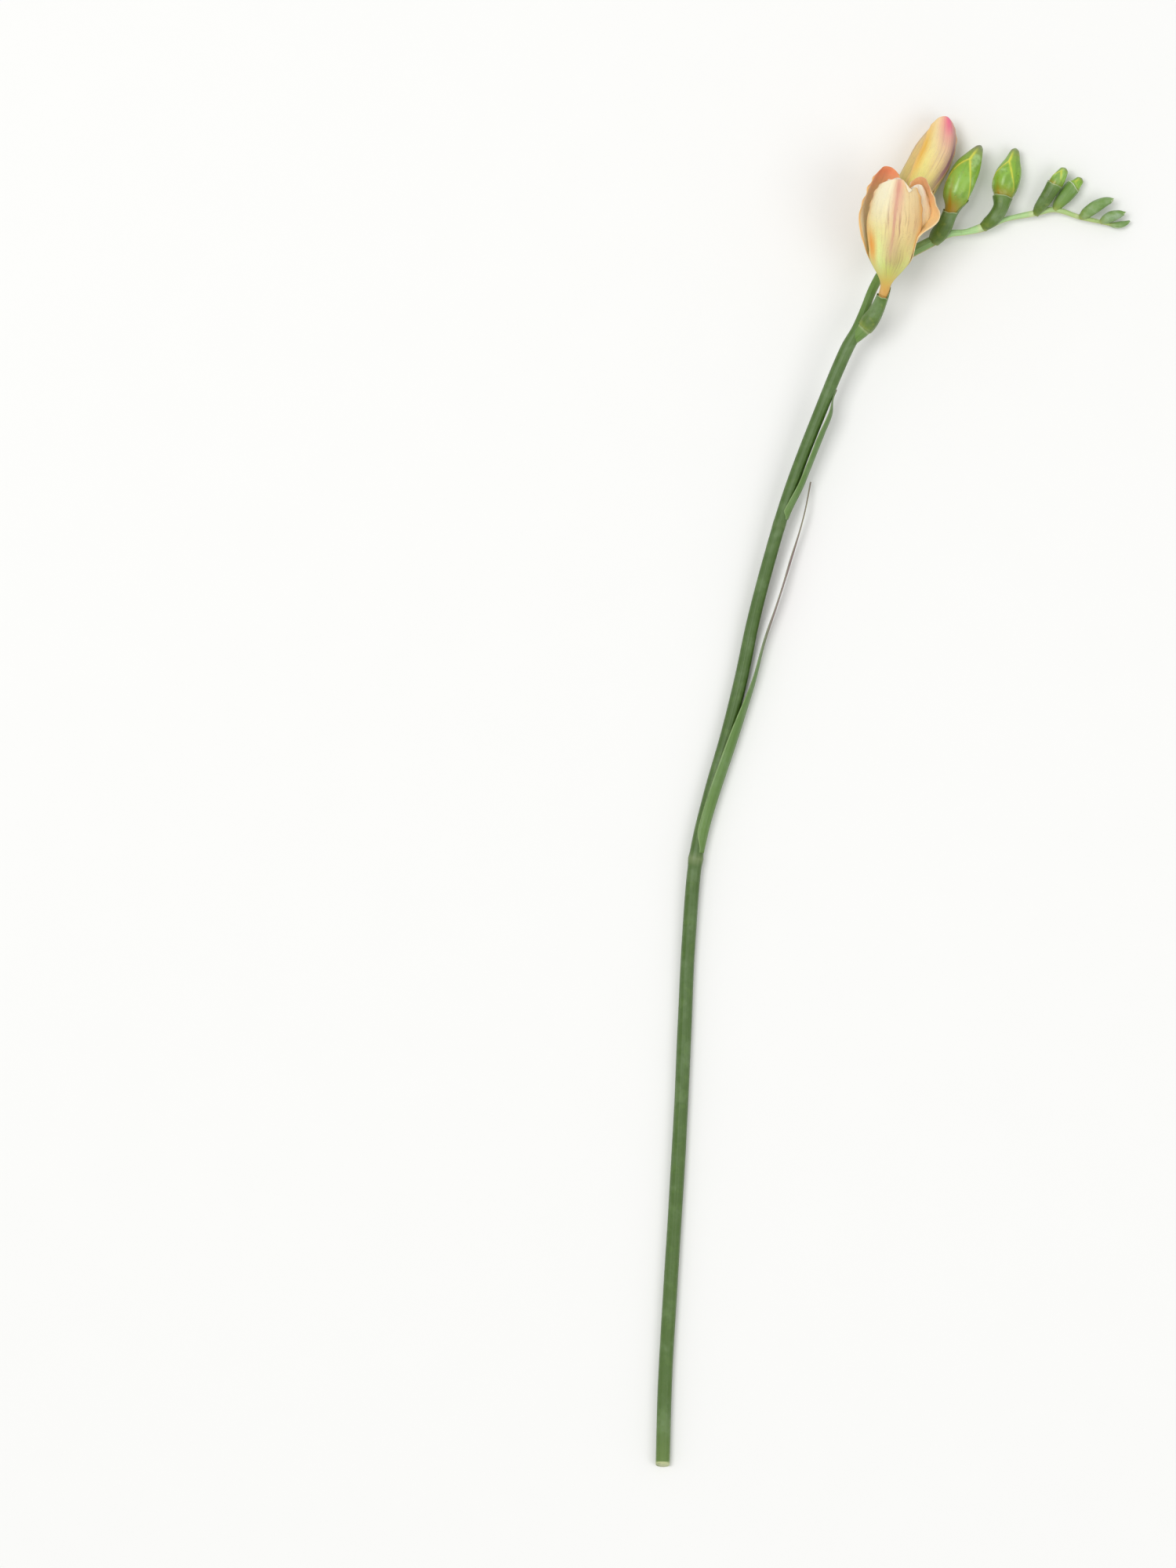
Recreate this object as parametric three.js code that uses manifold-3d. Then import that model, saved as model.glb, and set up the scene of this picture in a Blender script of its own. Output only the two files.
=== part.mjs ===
// A single cut freesia stem, lying on a table.
//
// The stem runs along +Y from its cut end to the flower head, +X is across it and
// +Z is up from the table at z = 0. The origin is on the stem's underside, a little
// way up from the cut end. All sizes are in millimetres and all angles in degrees.

import * as THREE from 'three';
import { mergeVertices } from 'three/addons/utils/BufferGeometryUtils.js';
import Module from 'manifold-3d';

const wasm = await Module();
wasm.setup();

// ---------------------------------------------------------------------------
// Driving dimensions
// ---------------------------------------------------------------------------

const GAP = 0.3; // clearance between two pieces that touch
const BLADE = 0.6; // thickness of leaves and bracts
const PETAL = 0.7; // thickness of tepals

// The stem and the zigzag flower stalk it turns into, from the cut end to the tip:
// x, y, height of the centre line above the table, radius.
const STEM_ROUTE = [
	[0.0, -6.5, 2.6, 2.75],
	[1.0, 27.0, 2.6, 2.75],
	[3.1, 63.4, 2.6, 2.75],
	[5.2, 97.3, 2.6, 2.75],
	[7.1, 131.2, 2.6, 2.75],
	[8.6, 165.1, 2.6, 2.75],
	[10.2, 199.0, 2.9, 2.7],
	[13.2, 232.8, 3.9, 2.7],
	[18.5, 255.9, 3.9, 2.65],
	[25.2, 279.5, 3.9, 2.65],
	[31.0, 303.0, 4.1, 2.6],
	[35.4, 324.0, 4.9, 2.55],
	[41.3, 347.0, 6.4, 2.5],
	[49.9, 375.8, 9.0, 2.45],
	[60.8, 405.0, 11.8, 2.4],
	[71.1, 430.9, 14.2, 2.35],
	[75.7, 438.4, 14.6, 2.2],
	[78.8, 445.8, 13.8, 1.8],
	[82.7, 455.4, 12.2, 1.75],
	[87.2, 462.4, 10.6, 1.85],
	[95.8, 468.0, 9.0, 2.05],
	[104.7, 472.8, 7.9, 2.1],
	[113.5, 476.6, 6.3, 1.65],
	[125.7, 478.9, 5.6, 1.75],
	[134.0, 482.0, 4.0, 1.05],
	[146.0, 484.5, 4.4, 1.35],
	[153.7, 485.9, 4.1, 1.2],
	[163.9, 482.9, 3.9, 1.1],
	[171.9, 481.1, 3.6, 0.85],
	[175.4, 480.2, 3.2, 0.6],
];
const STEM_SIDES = 10;
const STEPS_PER_STRETCH = 2;
const CUT_SLANT = 0.45; // rise of the cut end's slope
const NODE_SWELLING = 0.35; // how far a joint in the stem stands out
const NODE_LENGTH = 1.6;
const NODE_TO_LEAF = 2.8; // from the middle of a joint to the foot of its leaf
const LOWER_NODE_Y = 231;
const UPPER_NODE_Y = 362;

// The two leaves. Each starts as a sheath round the stem and ends as a narrow blade
// that stands on edge. The blade's points are on its keel.
const LOWER_LEAF = {
	node: LOWER_NODE_Y,
	sheathEnd: 302,
	blade: [
		[39.8, 315.0, 4.6], [45.0, 331.0, 4.9], [50.8, 349.5, 5.0], [55.6, 366.5, 5.0],
		[58.1, 379.0, 5.4],
	],
	keelOff: [[0, 0], [0.6, 0.4], [1, 1.9]],
	roll: [[0, 0], [0.4, 0.1], [0.6, 3.2], [1, 4]],
	halfWidth: [[0, 6.2], [0.3, 5.6], [0.5, 3.3], [0.75, 2.5], [0.92, 1.3], [1, 0.45]],
};
const UPPER_LEAF = {
	node: UPPER_NODE_Y,
	sheathEnd: 407,
	blade: [[67.0, 412.3, 12.4], [69.2, 417.6, 12.9]],
	keelOff: [[0, 0], [0.4, 0.8], [0.8, 1.0], [1, 0.9]],
	roll: [[0, 0], [0.4, -0.8], [0.75, -0.8], [1, 0]],
	halfWidth: [[0, 4.6], [0.4, 3.4], [0.75, 2.5], [0.92, 1.4], [1, 0.45]],
};

// The two open flowers. The spine runs from the stalk to the tip through the middle
// of the flower; the bracts wrap the first stretch of it. A tepal faces away from the
// spine at an angle from straight up, turning towards +X. It follows the funnel at first
// and then flares; its tip hooks back in, its sides bend round on a roll of its own, and
// a turn lets it stand askew.
const FLOWER_1 = {
	name: '1',
	spine: [
		[76.1, 436.1, 14.8], [79.7, 439.9, 15.8], [83.0, 444.6, 17.6], [85.0, 448.8, 19.4],
		[86.3, 452.8, 21.2], [88.5, 468.0, 26.6], [90.4, 484.0, 31.2], [92.6, 506.0, 36.4],
	],
	bractReach: 20.4,
	bractFoot: 2.4,
	tubeRadius: 1.95,
	funnelRadius: 9.0,
	tepals: [
		{ faces: 9, reach: 48.8, halfWidth: 13.2, flare: 1.6, hook: 4.6, roll: 11.4, turn: 0, wave: 0.3 },
		{ faces: -142, reach: 51, halfWidth: 13.0, flare: 3.9, hook: 5.6, roll: 14, turn: 0, wave: 0.5 },
		{ faces: 112, reach: 49, halfWidth: 11.4, flare: 7.2, hook: 4.6, roll: 24, turn: 6, wave: 0.8 },
		{
			faces: 84, reach: 46.5, halfWidth: 8.6, flare: 2.3, hook: 2.2,
			roll: 16, turn: -42, wave: 0.5, inner: true,
		},
		{
			faces: -66, reach: 47.6, halfWidth: 7.6, flare: 0, hook: 3.6,
			roll: 9, turn: 8, wave: 0.3, inner: true,
		},
		{
			faces: 184, reach: 47, halfWidth: 7.8, flare: 1.2, hook: 3.4,
			roll: 9, turn: 0, wave: 0.3, inner: true,
		},
	],
};
const FLOWER_2 = {
	name: '2',
	spine: [
		[87.0, 462.2, 10.6], [89.4, 470.0, 10.2], [92.4, 479.4, 9.4], [99.6, 495.2, 8.4],
		[107.2, 509.9, 7.9], [110.8, 526.0, 8.0],
	],
	bractReach: 18.6,
	bractFoot: 2.0,
	tubeRadius: 1.95,
	funnelRadius: 7.9,
	tepals: [
		{ faces: 12, reach: 46, halfWidth: 7.8, flare: 0.8, hook: 5.8, roll: 8.4, turn: 0, wave: 0.2 },
		{ faces: -118, reach: 44, halfWidth: 8.2, flare: -0.1, hook: 4.6, roll: 7.8, turn: 0, wave: 0.2 },
		{ faces: 126, reach: 44.5, halfWidth: 8.0, flare: 0, hook: 4.8, roll: 7.8, turn: 0, wave: 0.3 },
		{
			faces: 62, reach: 42.5, halfWidth: 5.8, flare: 0, hook: 4.6,
			roll: 7, turn: 0, wave: 0.2, inner: true,
		},
		{
			faces: -62, reach: 44.6, halfWidth: 6.0, flare: 0.3, hook: 4.6,
			roll: 7, turn: 0, wave: 0.2, inner: true,
		},
		{
			faces: 182, reach: 42.5, halfWidth: 5.8, flare: 0, hook: 4.6,
			roll: 7, turn: 0, wave: 0.2, inner: true,
		},
	],
};

// The unopened buds, largest first. A bud's radius is given against the fraction of
// the spine's length.
const BUDS = [
	{
		name: '3',
		spine: [
			[104.7, 472.8, 7.9], [109.0, 478.2, 10.4], [113.1, 485.0, 11.0], [115.5, 491.3, 10.6],
			[118.6, 499.3, 10.0], [122.2, 506.0, 9.6], [125.2, 511.8, 9.4],
		],
		bractReach: 14.9,
		bractFoot: 2.2,
		radius: [
			[0, 1.4], [0.2, 2.0], [0.34, 2.1], [0.38, 2.7], [0.45, 4.6], [0.54, 5.5], [0.66, 5.8],
			[0.78, 5.2], [0.88, 3.7], [0.96, 1.7], [1, 0.4],
		],
		rows: 15,
	},
	{
		name: '4',
		spine: [
			[125.7, 478.9, 5.6], [130.2, 482.2, 7.4], [133.1, 486.4, 7.2], [133.8, 491.3, 6.3],
			[135.0, 497.1, 5.5], [136.9, 502.4, 5.2], [138.7, 510.9, 5.0],
		],
		bractReach: 14.6,
		bractFoot: 1.9,
		radius: [
			[0, 1.2], [0.2, 1.8], [0.36, 2.1], [0.44, 2.9], [0.52, 4.5], [0.62, 5.1],
			[0.74, 4.6], [0.88, 2.7], [0.96, 1.4], [1, 0.4],
		],
		rows: 15,
	},
	{
		name: '5',
		spine: [
			[146.2, 484.2, 4.4], [150.4, 490.0, 6.8], [154.0, 495.6, 7.2], [156.6, 499.9, 7.0],
			[158.4, 502.9, 6.8],
		],
		bractReach: 14.4,
		bractFoot: 1.45,
		radius: [
			[0, 0.9], [0.25, 1.5], [0.5, 1.7], [0.64, 1.85], [0.7, 2.35], [0.78, 2.6],
			[0.88, 2.3], [0.96, 1.5], [1, 0.6],
		],
		rows: 11,
	},
	{
		name: '6',
		spine: [
			[153.7, 485.9, 4.1], [156.2, 489.2, 4.2], [159.6, 493.2, 3.9], [162.4, 496.2, 3.8],
			[164.4, 498.3, 3.8],
		],
		bractReach: 12.4,
		bractFoot: 1.2,
		radius: [[0, 0.8], [0.2, 1.6], [0.42, 2.4], [0.6, 2.35], [0.78, 1.85], [0.9, 1.5], [1, 0.7]],
		rows: 9,
	},
	{
		name: '7',
		spine: [
			[163.9, 482.9, 3.9], [167.2, 485.1, 5.4], [170.9, 487.5, 5.8], [174.0, 488.9, 5.6],
			[176.7, 489.5, 5.4],
		],
		bractReach: 13.4,
		bractFoot: 1.1,
		radius: [[0, 0.6], [0.25, 1.25], [0.5, 1.6], [0.75, 1.35], [0.92, 1.0], [1, 0.6]],
		rows: 8,
	},
	{
		name: '8',
		spine: [[171.9, 481.1, 3.6], [174.9, 482.6, 4.6], [178.3, 483.8, 4.8], [181.2, 484.4, 4.8]],
		bractReach: 9.2,
		bractFoot: 0.9,
		radius: [[0, 0.5], [0.3, 1.0], [0.5, 1.3], [0.75, 1.05], [0.92, 0.75], [1, 0.45]],
		rows: 7,
	},
];
const TIP_BUD = {
	spine: [[175.72, 480.12, 3.15], [178.6, 479.9, 2.7], [181.4, 480.6, 2.6], [183.4, 481.6, 2.7]],
	radius: [[0, 0.7], [0.25, 1.25], [0.55, 1.4], [0.85, 0.8], [1, 0.3]],
};

// Bracts: a pair at the foot of each flower, grown together into a sleeve. The outer
// one lies over the edges of the inner one and its tip stands higher.
const BRACT = {
	footLength: 3.2,
	cupLength: 4.4,
	outerFaces: -40,
	outerHalfAngle: 100,
	overlap: 0.35,
	overlapAngle: 6,
	outerTipRise: 0.08, // shares of the sleeve's length
	innerTipRise: 0.035,
	rimDrop: 0.02,
};

// Relief of a closed bud: its front tepal ends in a pointed arch over the others.
const BUD_FRONT = { faces: -28, halfAngle: 56, arch: 0.84, step: 0.3, stepAngle: 5 };

// The style and the three stamens inside a flower.
const STAMENS = { ring: 1.5, filament: 0.55, reach: 30, antherLength: 7, antherRadius: 0.75, styleReach: 34 };

// ---------------------------------------------------------------------------
// Small helpers
// ---------------------------------------------------------------------------

const UP = new THREE.Vector3(0, 0, 1);
const radians = THREE.MathUtils.degToRad;
const { lerp, clamp, smoothstep } = THREE.MathUtils;

/** A smooth function through [position, value] pairs. */
function profile(pairs) {
	const positions = pairs.map((pair) => pair[0]);
	const values = pairs.map((pair) => pair[1]);
	const cubic = new THREE.CubicInterpolant(positions, values, 1);
	return (x) => cubic.evaluate(clamp(x, positions[0], positions.at(-1)))[0];
}

/** A smooth line through points, with a frame at any distance along it. */
class Spine {

	constructor(points) {
		this.curve = new THREE.CatmullRomCurve3(points.map((point) => new THREE.Vector3(...point)));
		this.curve.arcLengthDivisions = 400;
		this.length = this.curve.getLength();
	}

	frameAt(distance) {
		const share = clamp(distance / this.length, 0, 1);
		return frameAlong(this.curve.getPointAt(share), this.curve.getTangentAt(share));
	}

	/** The point at an angle round the line: 0 is straight up, 90 is towards +X. */
	around(distance, angle, radius) {
		const { point, across, above } = this.frameAt(distance);
		return point
			.addScaledVector(above, radius * Math.cos(radians(angle)))
			.addScaledVector(across, radius * Math.sin(radians(angle)));
	}

}

/** Two directions square to a line: one level and one as near straight up as it can be. */
function frameAlong(point, along) {
	const across = new THREE.Vector3().crossVectors(along, UP).normalize();
	const above = new THREE.Vector3().crossVectors(across, along);
	return { point, along, across, above };
}

/**
 * A closed surface through rings of points, each turning from up towards +X as seen
 * from the first ring's side. The first and last ring are closed by fans.
 */
function ringSurface(rings) {
	const sides = rings[0].length;
	const positions = rings.flat().flatMap((point) => point.toArray());
	const indices = [];
	for (let row = 0; row < rings.length - 1; row++) {
		for (let side = 0; side < sides; side++) {
			const here = row * sides + side;
			const next = row * sides + (side + 1) % sides;
			indices.push(here, next, next + sides, here, next + sides, here + sides);
		}
	}
	const lastStart = (rings.length - 1) * sides;
	for (const [ring, first, turn] of [[rings[0], 0, 1], [rings.at(-1), lastStart, -1]]) {
		const middle = ring.reduce((sum, point) => sum.add(point), new THREE.Vector3()).divideScalar(sides);
		const centre = positions.length / 3;
		positions.push(...middle.toArray());
		for (let side = 0; side < sides; side++) {
			const here = first + side;
			const next = first + (side + 1) % sides;
			indices.push(centre, turn > 0 ? next : here, turn > 0 ? here : next);
		}
	}
	const geometry = new THREE.BufferGeometry();
	geometry.setAttribute('position', new THREE.Float32BufferAttribute(positions, 3));
	geometry.setIndex(indices);
	return geometry;
}

/** A round closed solid along a spine, its radius a function of the distance. */
function roundSolid(spine, start, end, rows, sides, radiusAt) {
	const rings = [];
	for (let row = 0; row <= rows; row++) {
		const distance = lerp(start, end, row / rows);
		const ring = [];
		for (let side = 0; side < sides; side++) {
			ring.push(spine.around(distance, 360 * (side + 0.5) / sides, radiusAt(distance)));
		}
		rings.push(ring);
	}
	return ringSurface(rings);
}

/**
 * A closed thin blade. surface(q, v) gives its outer face, q from 0 at the root to 1 at
 * the tip and v from -1 to 1 across. The inner face is one thickness behind it and is
 * split into triangles in the same way.
 */
function blade(surface, rows, columns, thickness) {
	const stride = columns + 1;
	const faceSize = (rows + 1) * stride;
	const positions = [];
	for (const depth of [0, thickness]) {
		for (let row = 0; row <= rows; row++) {
			for (let column = 0; column <= columns; column++) {
				const q = row / rows;
				const v = 2 * column / columns - 1;
				const point = surface(q, v).addScaledVector(surfaceNormal(surface, q, v), -depth);
				positions.push(point.x, point.y, point.z);
			}
		}
	}
	const outer = (row, column) => row * stride + column;
	const inner = (row, column) => faceSize + row * stride + column;
	const indices = [];
	const quad = (a, b, c, d) => indices.push(a, b, c, a, c, d);
	for (let row = 0; row < rows; row++) {
		for (let column = 0; column < columns; column++) {
			const [near, far] = [outer(row, column), outer(row + 1, column)];
			quad(near, near + 1, far + 1, far);
			indices.push(inner(row, column), inner(row + 1, column + 1), inner(row, column + 1));
			indices.push(inner(row, column), inner(row + 1, column), inner(row + 1, column + 1));
		}
		quad(outer(row, columns), inner(row, columns), inner(row + 1, columns), outer(row + 1, columns));
		quad(inner(row, 0), outer(row, 0), outer(row + 1, 0), inner(row + 1, 0));
	}
	for (let column = 0; column < columns; column++) {
		quad(outer(0, column), inner(0, column), inner(0, column + 1), outer(0, column + 1));
		quad(inner(rows, column), outer(rows, column), outer(rows, column + 1), inner(rows, column + 1));
	}
	const geometry = new THREE.BufferGeometry();
	geometry.setAttribute('position', new THREE.Float32BufferAttribute(positions, 3));
	geometry.setIndex(indices);
	return geometry;
}

/** The outward normal of a surface, from its slopes across and along. */
function surfaceNormal(surface, q, v) {
	const small = 0.004;
	const across = surface(q, Math.min(v + small, 1)).sub(surface(q, Math.max(v - small, -1)));
	const along = surface(Math.min(q + small, 1), v).sub(surface(Math.max(q - small, 0), v));
	return across.cross(along).normalize();
}

/** The solid inside a closed geometry. */
function solidOf(geometry) {
	const bare = new THREE.BufferGeometry();
	bare.setAttribute('position', geometry.attributes.position);
	bare.setIndex(geometry.index);
	const merged = mergeVertices(bare, 1e-4);
	return new wasm.Manifold(new wasm.Mesh({
		numProp: 3,
		vertProperties: new Float32Array(merged.attributes.position.array),
		triVerts: new Uint32Array(merged.index.array),
	}));
}

/** The geometry of a solid. */
function geometryOf(solid) {
	const mesh = solid.getMesh();
	const geometry = new THREE.BufferGeometry();
	geometry.setAttribute('position', new THREE.BufferAttribute(new Float32Array(mesh.vertProperties), 3));
	geometry.setIndex(new THREE.BufferAttribute(new Uint32Array(mesh.triVerts), 1));
	geometry.computeVertexNormals();
	return geometry;
}

/** Several closed geometries joined in one solid, with any pocket they seal filled. */
function joined(geometries) {
	const whole = geometries.map(solidOf).reduce((sum, next) => sum.add(next));
	return largestBody(whole);
}

/** The largest body of a solid, without loose scraps and sealed pockets. */
function largestBody(solid) {
	const bodies = solid.decompose();
	return bodies.reduce((best, body) => (body.volume() > best.volume() ? body : best));
}

// ---------------------------------------------------------------------------
// Stem
// ---------------------------------------------------------------------------

const stemSpine = new Spine(STEM_ROUTE.map((station) => station.slice(0, 3)));
const stemRadius = profile(STEM_ROUTE.map((station, index) => [index, station[3]]));

/** Extra radius at the joints that carry the leaves. */
function nodeSwelling(y) {
	const bump = (node) => Math.exp(-(((y - node) / NODE_LENGTH) ** 2));
	return NODE_SWELLING * (bump(LOWER_NODE_Y) + bump(UPPER_NODE_Y));
}

/** The stem and flower stalk as one solid, grown by a margin all round. */
function stemGeometry(margin) {
	const stretches = STEM_ROUTE.length - 1;
	const steps = stretches * STEPS_PER_STRETCH;
	const rings = [];
	for (let step = 0; step <= steps; step++) {
		const share = step / steps;
		const frame = frameAlong(stemSpine.curve.getPoint(share), stemSpine.curve.getTangent(share));
		const radius = stemRadius(share * stretches) + nodeSwelling(frame.point.y) + margin;
		const slant = step === 0 ? CUT_SLANT : 0;
		rings.push(stemRing(frame, radius, slant));
	}
	return ringSurface(rings);
}

/** One ring of the stem. One side of it faces straight down, and lies flat on the table. */
function stemRing({ point, along, across, above }, radius, slant) {
	const ring = [];
	for (let side = 0; side < STEM_SIDES; side++) {
		const angle = 2 * Math.PI * (side + 0.5) / STEM_SIDES;
		const rise = radius * Math.cos(angle);
		const corner = point.clone()
			.addScaledVector(above, rise)
			.addScaledVector(across, radius * Math.sin(angle))
			.addScaledVector(along, slant * rise);
		corner.z = Math.max(corner.z, 0);
		ring.push(corner);
	}
	return ring;
}

const stemSolid = solidOf(stemGeometry(0));
const stemWithGap = solidOf(stemGeometry(GAP));

// ---------------------------------------------------------------------------
// Leaves
// ---------------------------------------------------------------------------

/** The distance along the stem at which it has reached a given y. */
function stemDistanceAtY(y) {
	let low = 0;
	let high = stemSpine.length;
	while (high - low > 0.01) {
		const middle = (low + high) / 2;
		if (stemSpine.frameAt(middle).point.y < y) low = middle;
		else high = middle;
	}
	return low;
}

/** A leaf: an arc round the stem that opens out into a narrow blade. */
function leafGeometry({ node, sheathEnd, blade: bladePoints, keelOff, roll, halfWidth }) {
	const sheathRadius = stemRadius(8) + GAP + 0.2 + BLADE;
	const keelOffAt = profile(keelOff);
	const rollAt = profile(roll);
	const halfWidthAt = profile(halfWidth);
	const sheathPoints = [];
	const sheathSteps = 6;
	for (let step = 0; step <= sheathSteps; step++) {
		const share = step / sheathSteps;
		const distance = stemDistanceAtY(lerp(node + NODE_TO_LEAF, sheathEnd, share));
		const offset = sheathRadius + keelOffAt(share);
		const keel = stemSpine.around(distance, 90, offset);
		sheathPoints.push([keel.x, keel.y, keel.z]);
	}
	const keelLine = new Spine([...sheathPoints, ...bladePoints]);
	const surface = (q, v) => {
		const { point, across, above } = keelLine.frameAt(q * keelLine.length);
		const arcRadius = sheathRadius + rollAt(q);
		const angle = v * halfWidthAt(q) / arcRadius;
		return point
			.addScaledVector(across, -arcRadius * (1 - Math.cos(angle)))
			.addScaledVector(above, -arcRadius * Math.sin(angle));
	};
	return blade(surface, 18, 6, BLADE);
}

// ---------------------------------------------------------------------------
// Bracts
// ---------------------------------------------------------------------------

/** The angles of a bract sleeve's points, with the outer bract's lifted over the rest. */
function bractRing() {
	const ring = [];
	const half = BRACT.outerHalfAngle;
	const outerPoints = 8;
	for (let index = 0; index < outerPoints; index++) {
		const v = 2 * index / (outerPoints - 1) - 1;
		ring.push({ angle: v * half, lift: BRACT.overlap, tip: BRACT.outerTipRise * (1 - v * v) ** 2 });
	}
	const innerPoints = 7;
	const innerHalf = 180 - half - BRACT.overlapAngle;
	for (let index = 0; index < innerPoints; index++) {
		const v = 2 * index / (innerPoints - 1) - 1;
		const tip = BRACT.innerTipRise * (1 - v * v) - BRACT.rimDrop;
		ring.push({ angle: 180 + v * innerHalf, lift: 0, tip });
	}
	return ring;
}

/**
 * The pair of bracts at the foot of a flower or bud: one sleeve, closed below by a
 * small cup on the stalk, that follows the body inside it.
 */
function bractPair(spine, bodyRadius, reach, footRadius) {
	const sleeve = (distance) => {
		const grown = bodyRadius(distance) + GAP + BLADE;
		return lerp(footRadius, grown, Math.sqrt(smoothstep(distance, -0.6, BRACT.footLength)));
	};
	const ringAt = (share, floor, wall) => bractRing().map(({ angle, lift, tip }) => {
		const distance = lerp(floor, reach * (1 + tip), share);
		const radius = sleeve(distance) + lift * smoothstep(share, 0, 0.2) - wall;
		return spine.around(distance, BRACT.outerFaces + angle, radius);
	});
	const outside = [0, 0.1, 0.24, 0.45, 0.72, 1].map((share) => ringAt(share, 0, 0));
	const inside = [1, 0.6, 0.3, 0].map((share) => ringAt(share, BRACT.cupLength, BLADE));
	return largestBody(solidOf(ringSurface([...outside, ...inside])).subtract(stemWithGap));
}

// ---------------------------------------------------------------------------
// Open flowers
// ---------------------------------------------------------------------------

const FUNNEL_START = 2;
const FUNNEL_END = 17;
const TEPAL_ROOT = 1.5;
const TEPAL_SHOULDER = 3.5; // how far the corners of the tip lie below its middle
const TEPAL_TAPER = 0.68;

/** The flower's radius against the height above the bracts: a tube, then a funnel. */
function funnelRadius({ tubeRadius, funnelRadius: wide }, height) {
	return lerp(tubeRadius, wide, smoothstep(height, FUNNEL_START, FUNNEL_END));
}

/** The outer face of one tepal, from the flower's tube to its rounded tip. */
function tepalSurface(spine, flower, tepal) {
	return (q, v) => {
		const share = 1 - (1 - q) ** 1.3;
		const height = lerp(TEPAL_ROOT, tepal.reach - TEPAL_SHOULDER * v * v, share);
		const inset = tepal.inner ? lerp(0.45, 1.3, smoothstep(height, 12, 24)) : 0;
		const radius = funnelRadius(flower, height);
		const opening = smoothstep(height, 13, 0.72 * tepal.reach);
		const nearTip = clamp((share - 0.62) / 0.38, 0, 1);
		const middle = radius - inset + tepal.flare * opening - tepal.hook * nearTip ** 2;
		const roll = lerp(radius - inset, tepal.roll, smoothstep(height, 12, 32));
		const growth = radius / flower.funnelRadius * lerp(0.7, 1, smoothstep(height, 14, 31));
		const crown = Math.sqrt(1 - TEPAL_TAPER * nearTip ** 2.4);
		const bend = v * tepal.halfWidth * growth * crown / roll;
		const ripple = tepal.wave * Math.sin(4.2 * Math.PI * share + tepal.faces);
		const ruffle = ripple * v * v * smoothstep(share, 0.4, 0.9);
		const back = ruffle - roll * (1 - Math.cos(bend));
		const aside = roll * Math.sin(bend);
		const faces = radians(tepal.faces);
		const turned = radians(tepal.faces + tepal.turn * opening);
		const { point, across, above } = spine.frameAt(flower.bractReach + height);
		const up = middle * Math.cos(faces) + back * Math.cos(turned) - aside * Math.sin(turned);
		const side = middle * Math.sin(faces) + back * Math.sin(turned) + aside * Math.cos(turned);
		return point.addScaledVector(above, up).addScaledVector(across, side);
	};
}

/** The radius of a flower inside its bracts and just above them. */
function flowerBodyRadius(flower) {
	const inside = profile([[0, 1.4], [0.3, 1.9], [0.65, 1.85], [1, flower.tubeRadius]]);
	return (distance) => {
		if (distance < flower.bractReach) return inside(distance / flower.bractReach);
		return funnelRadius(flower, distance - flower.bractReach);
	};
}

/** One open flower: a tube, and six tepals in two rings joined to it. */
function flowerSolid(spine, flower) {
	const bodyRadius = flowerBodyRadius(flower);
	const tubeTop = flower.bractReach + 6;
	const dome = (distance) => {
		const shrink = 1 - 0.75 * smoothstep(distance, tubeTop - 2, tubeTop);
		return (bodyRadius(distance) - 0.15) * shrink;
	};
	const tube = roundSolid(spine, BRACT.cupLength + GAP, tubeTop, 7, 12, dome);
	const tepals = flower.tepals.map((tepal) => blade(tepalSurface(spine, flower, tepal), 10, 6, PETAL));
	return joined([tube, ...tepals]).subtract(stemWithGap);
}

/** The style and three stamens that stand in a flower, joined at a small foot. */
function stamensSolid(spine, flower) {
	const foot = flower.bractReach + 6 + GAP;
	const rod = (angle, start, end, spread, rows, radiusAt) => {
		const line = new Spine([0, 0.5, 1].map((share) => {
			const distance = foot + lerp(start, end, share);
			return spine.around(distance, angle, spread).toArray();
		}));
		return roundSolid(line, 0, line.length, rows, 5, (distance) => radiusAt(distance / line.length));
	};
	const disc = roundSolid(spine, foot, foot + 1.2, 1, 8, () => STAMENS.ring + 0.4);
	const pieces = [disc, rod(0, 0.3, STAMENS.styleReach - 7, 0, 3, (share) => 0.5 + 0.25 * share ** 4)];
	for (const angle of [0, 120, 240]) {
		const top = STAMENS.reach - 7;
		pieces.push(rod(angle, 0.3, top - STAMENS.antherLength + 0.6, STAMENS.ring, 2, () => STAMENS.filament));
		const swell = (share) => STAMENS.antherRadius * (0.5 + Math.sin(Math.PI * clamp(share, 0.05, 0.95)));
		pieces.push(rod(angle, top - STAMENS.antherLength, top, STAMENS.ring, 4, swell));
	}
	return joined(pieces);
}

// ---------------------------------------------------------------------------
// Buds
// ---------------------------------------------------------------------------

/**
 * The angles of a bud's ring of points at a height, with the points on the front
 * tepal lifted above the rest. Its two edges draw together into a pointed arch.
 */
function budRing(share, bodyStart) {
	const above = clamp((share - bodyStart) / (BUD_FRONT.arch - bodyStart), 0, 1);
	const halfAngle = lerp(6, BUD_FRONT.halfAngle, Math.sqrt(1 - above ** 2.2));
	const grown = smoothstep(share, bodyStart, bodyStart + 0.12) * smoothstep(-share, -0.97, -0.8);
	const step = BUD_FRONT.step * grown;
	const points = [];
	const frontPoints = 5;
	for (let index = 0; index < frontPoints; index++) {
		points.push({ angle: lerp(-halfAngle, halfAngle, index / (frontPoints - 1)), sunk: 0 });
	}
	const backStart = halfAngle + BUD_FRONT.stepAngle;
	const backPoints = 9;
	for (let index = 0; index < backPoints; index++) {
		points.push({ angle: lerp(backStart, 360 - backStart, index / (backPoints - 1)), sunk: step });
	}
	return points;
}

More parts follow.
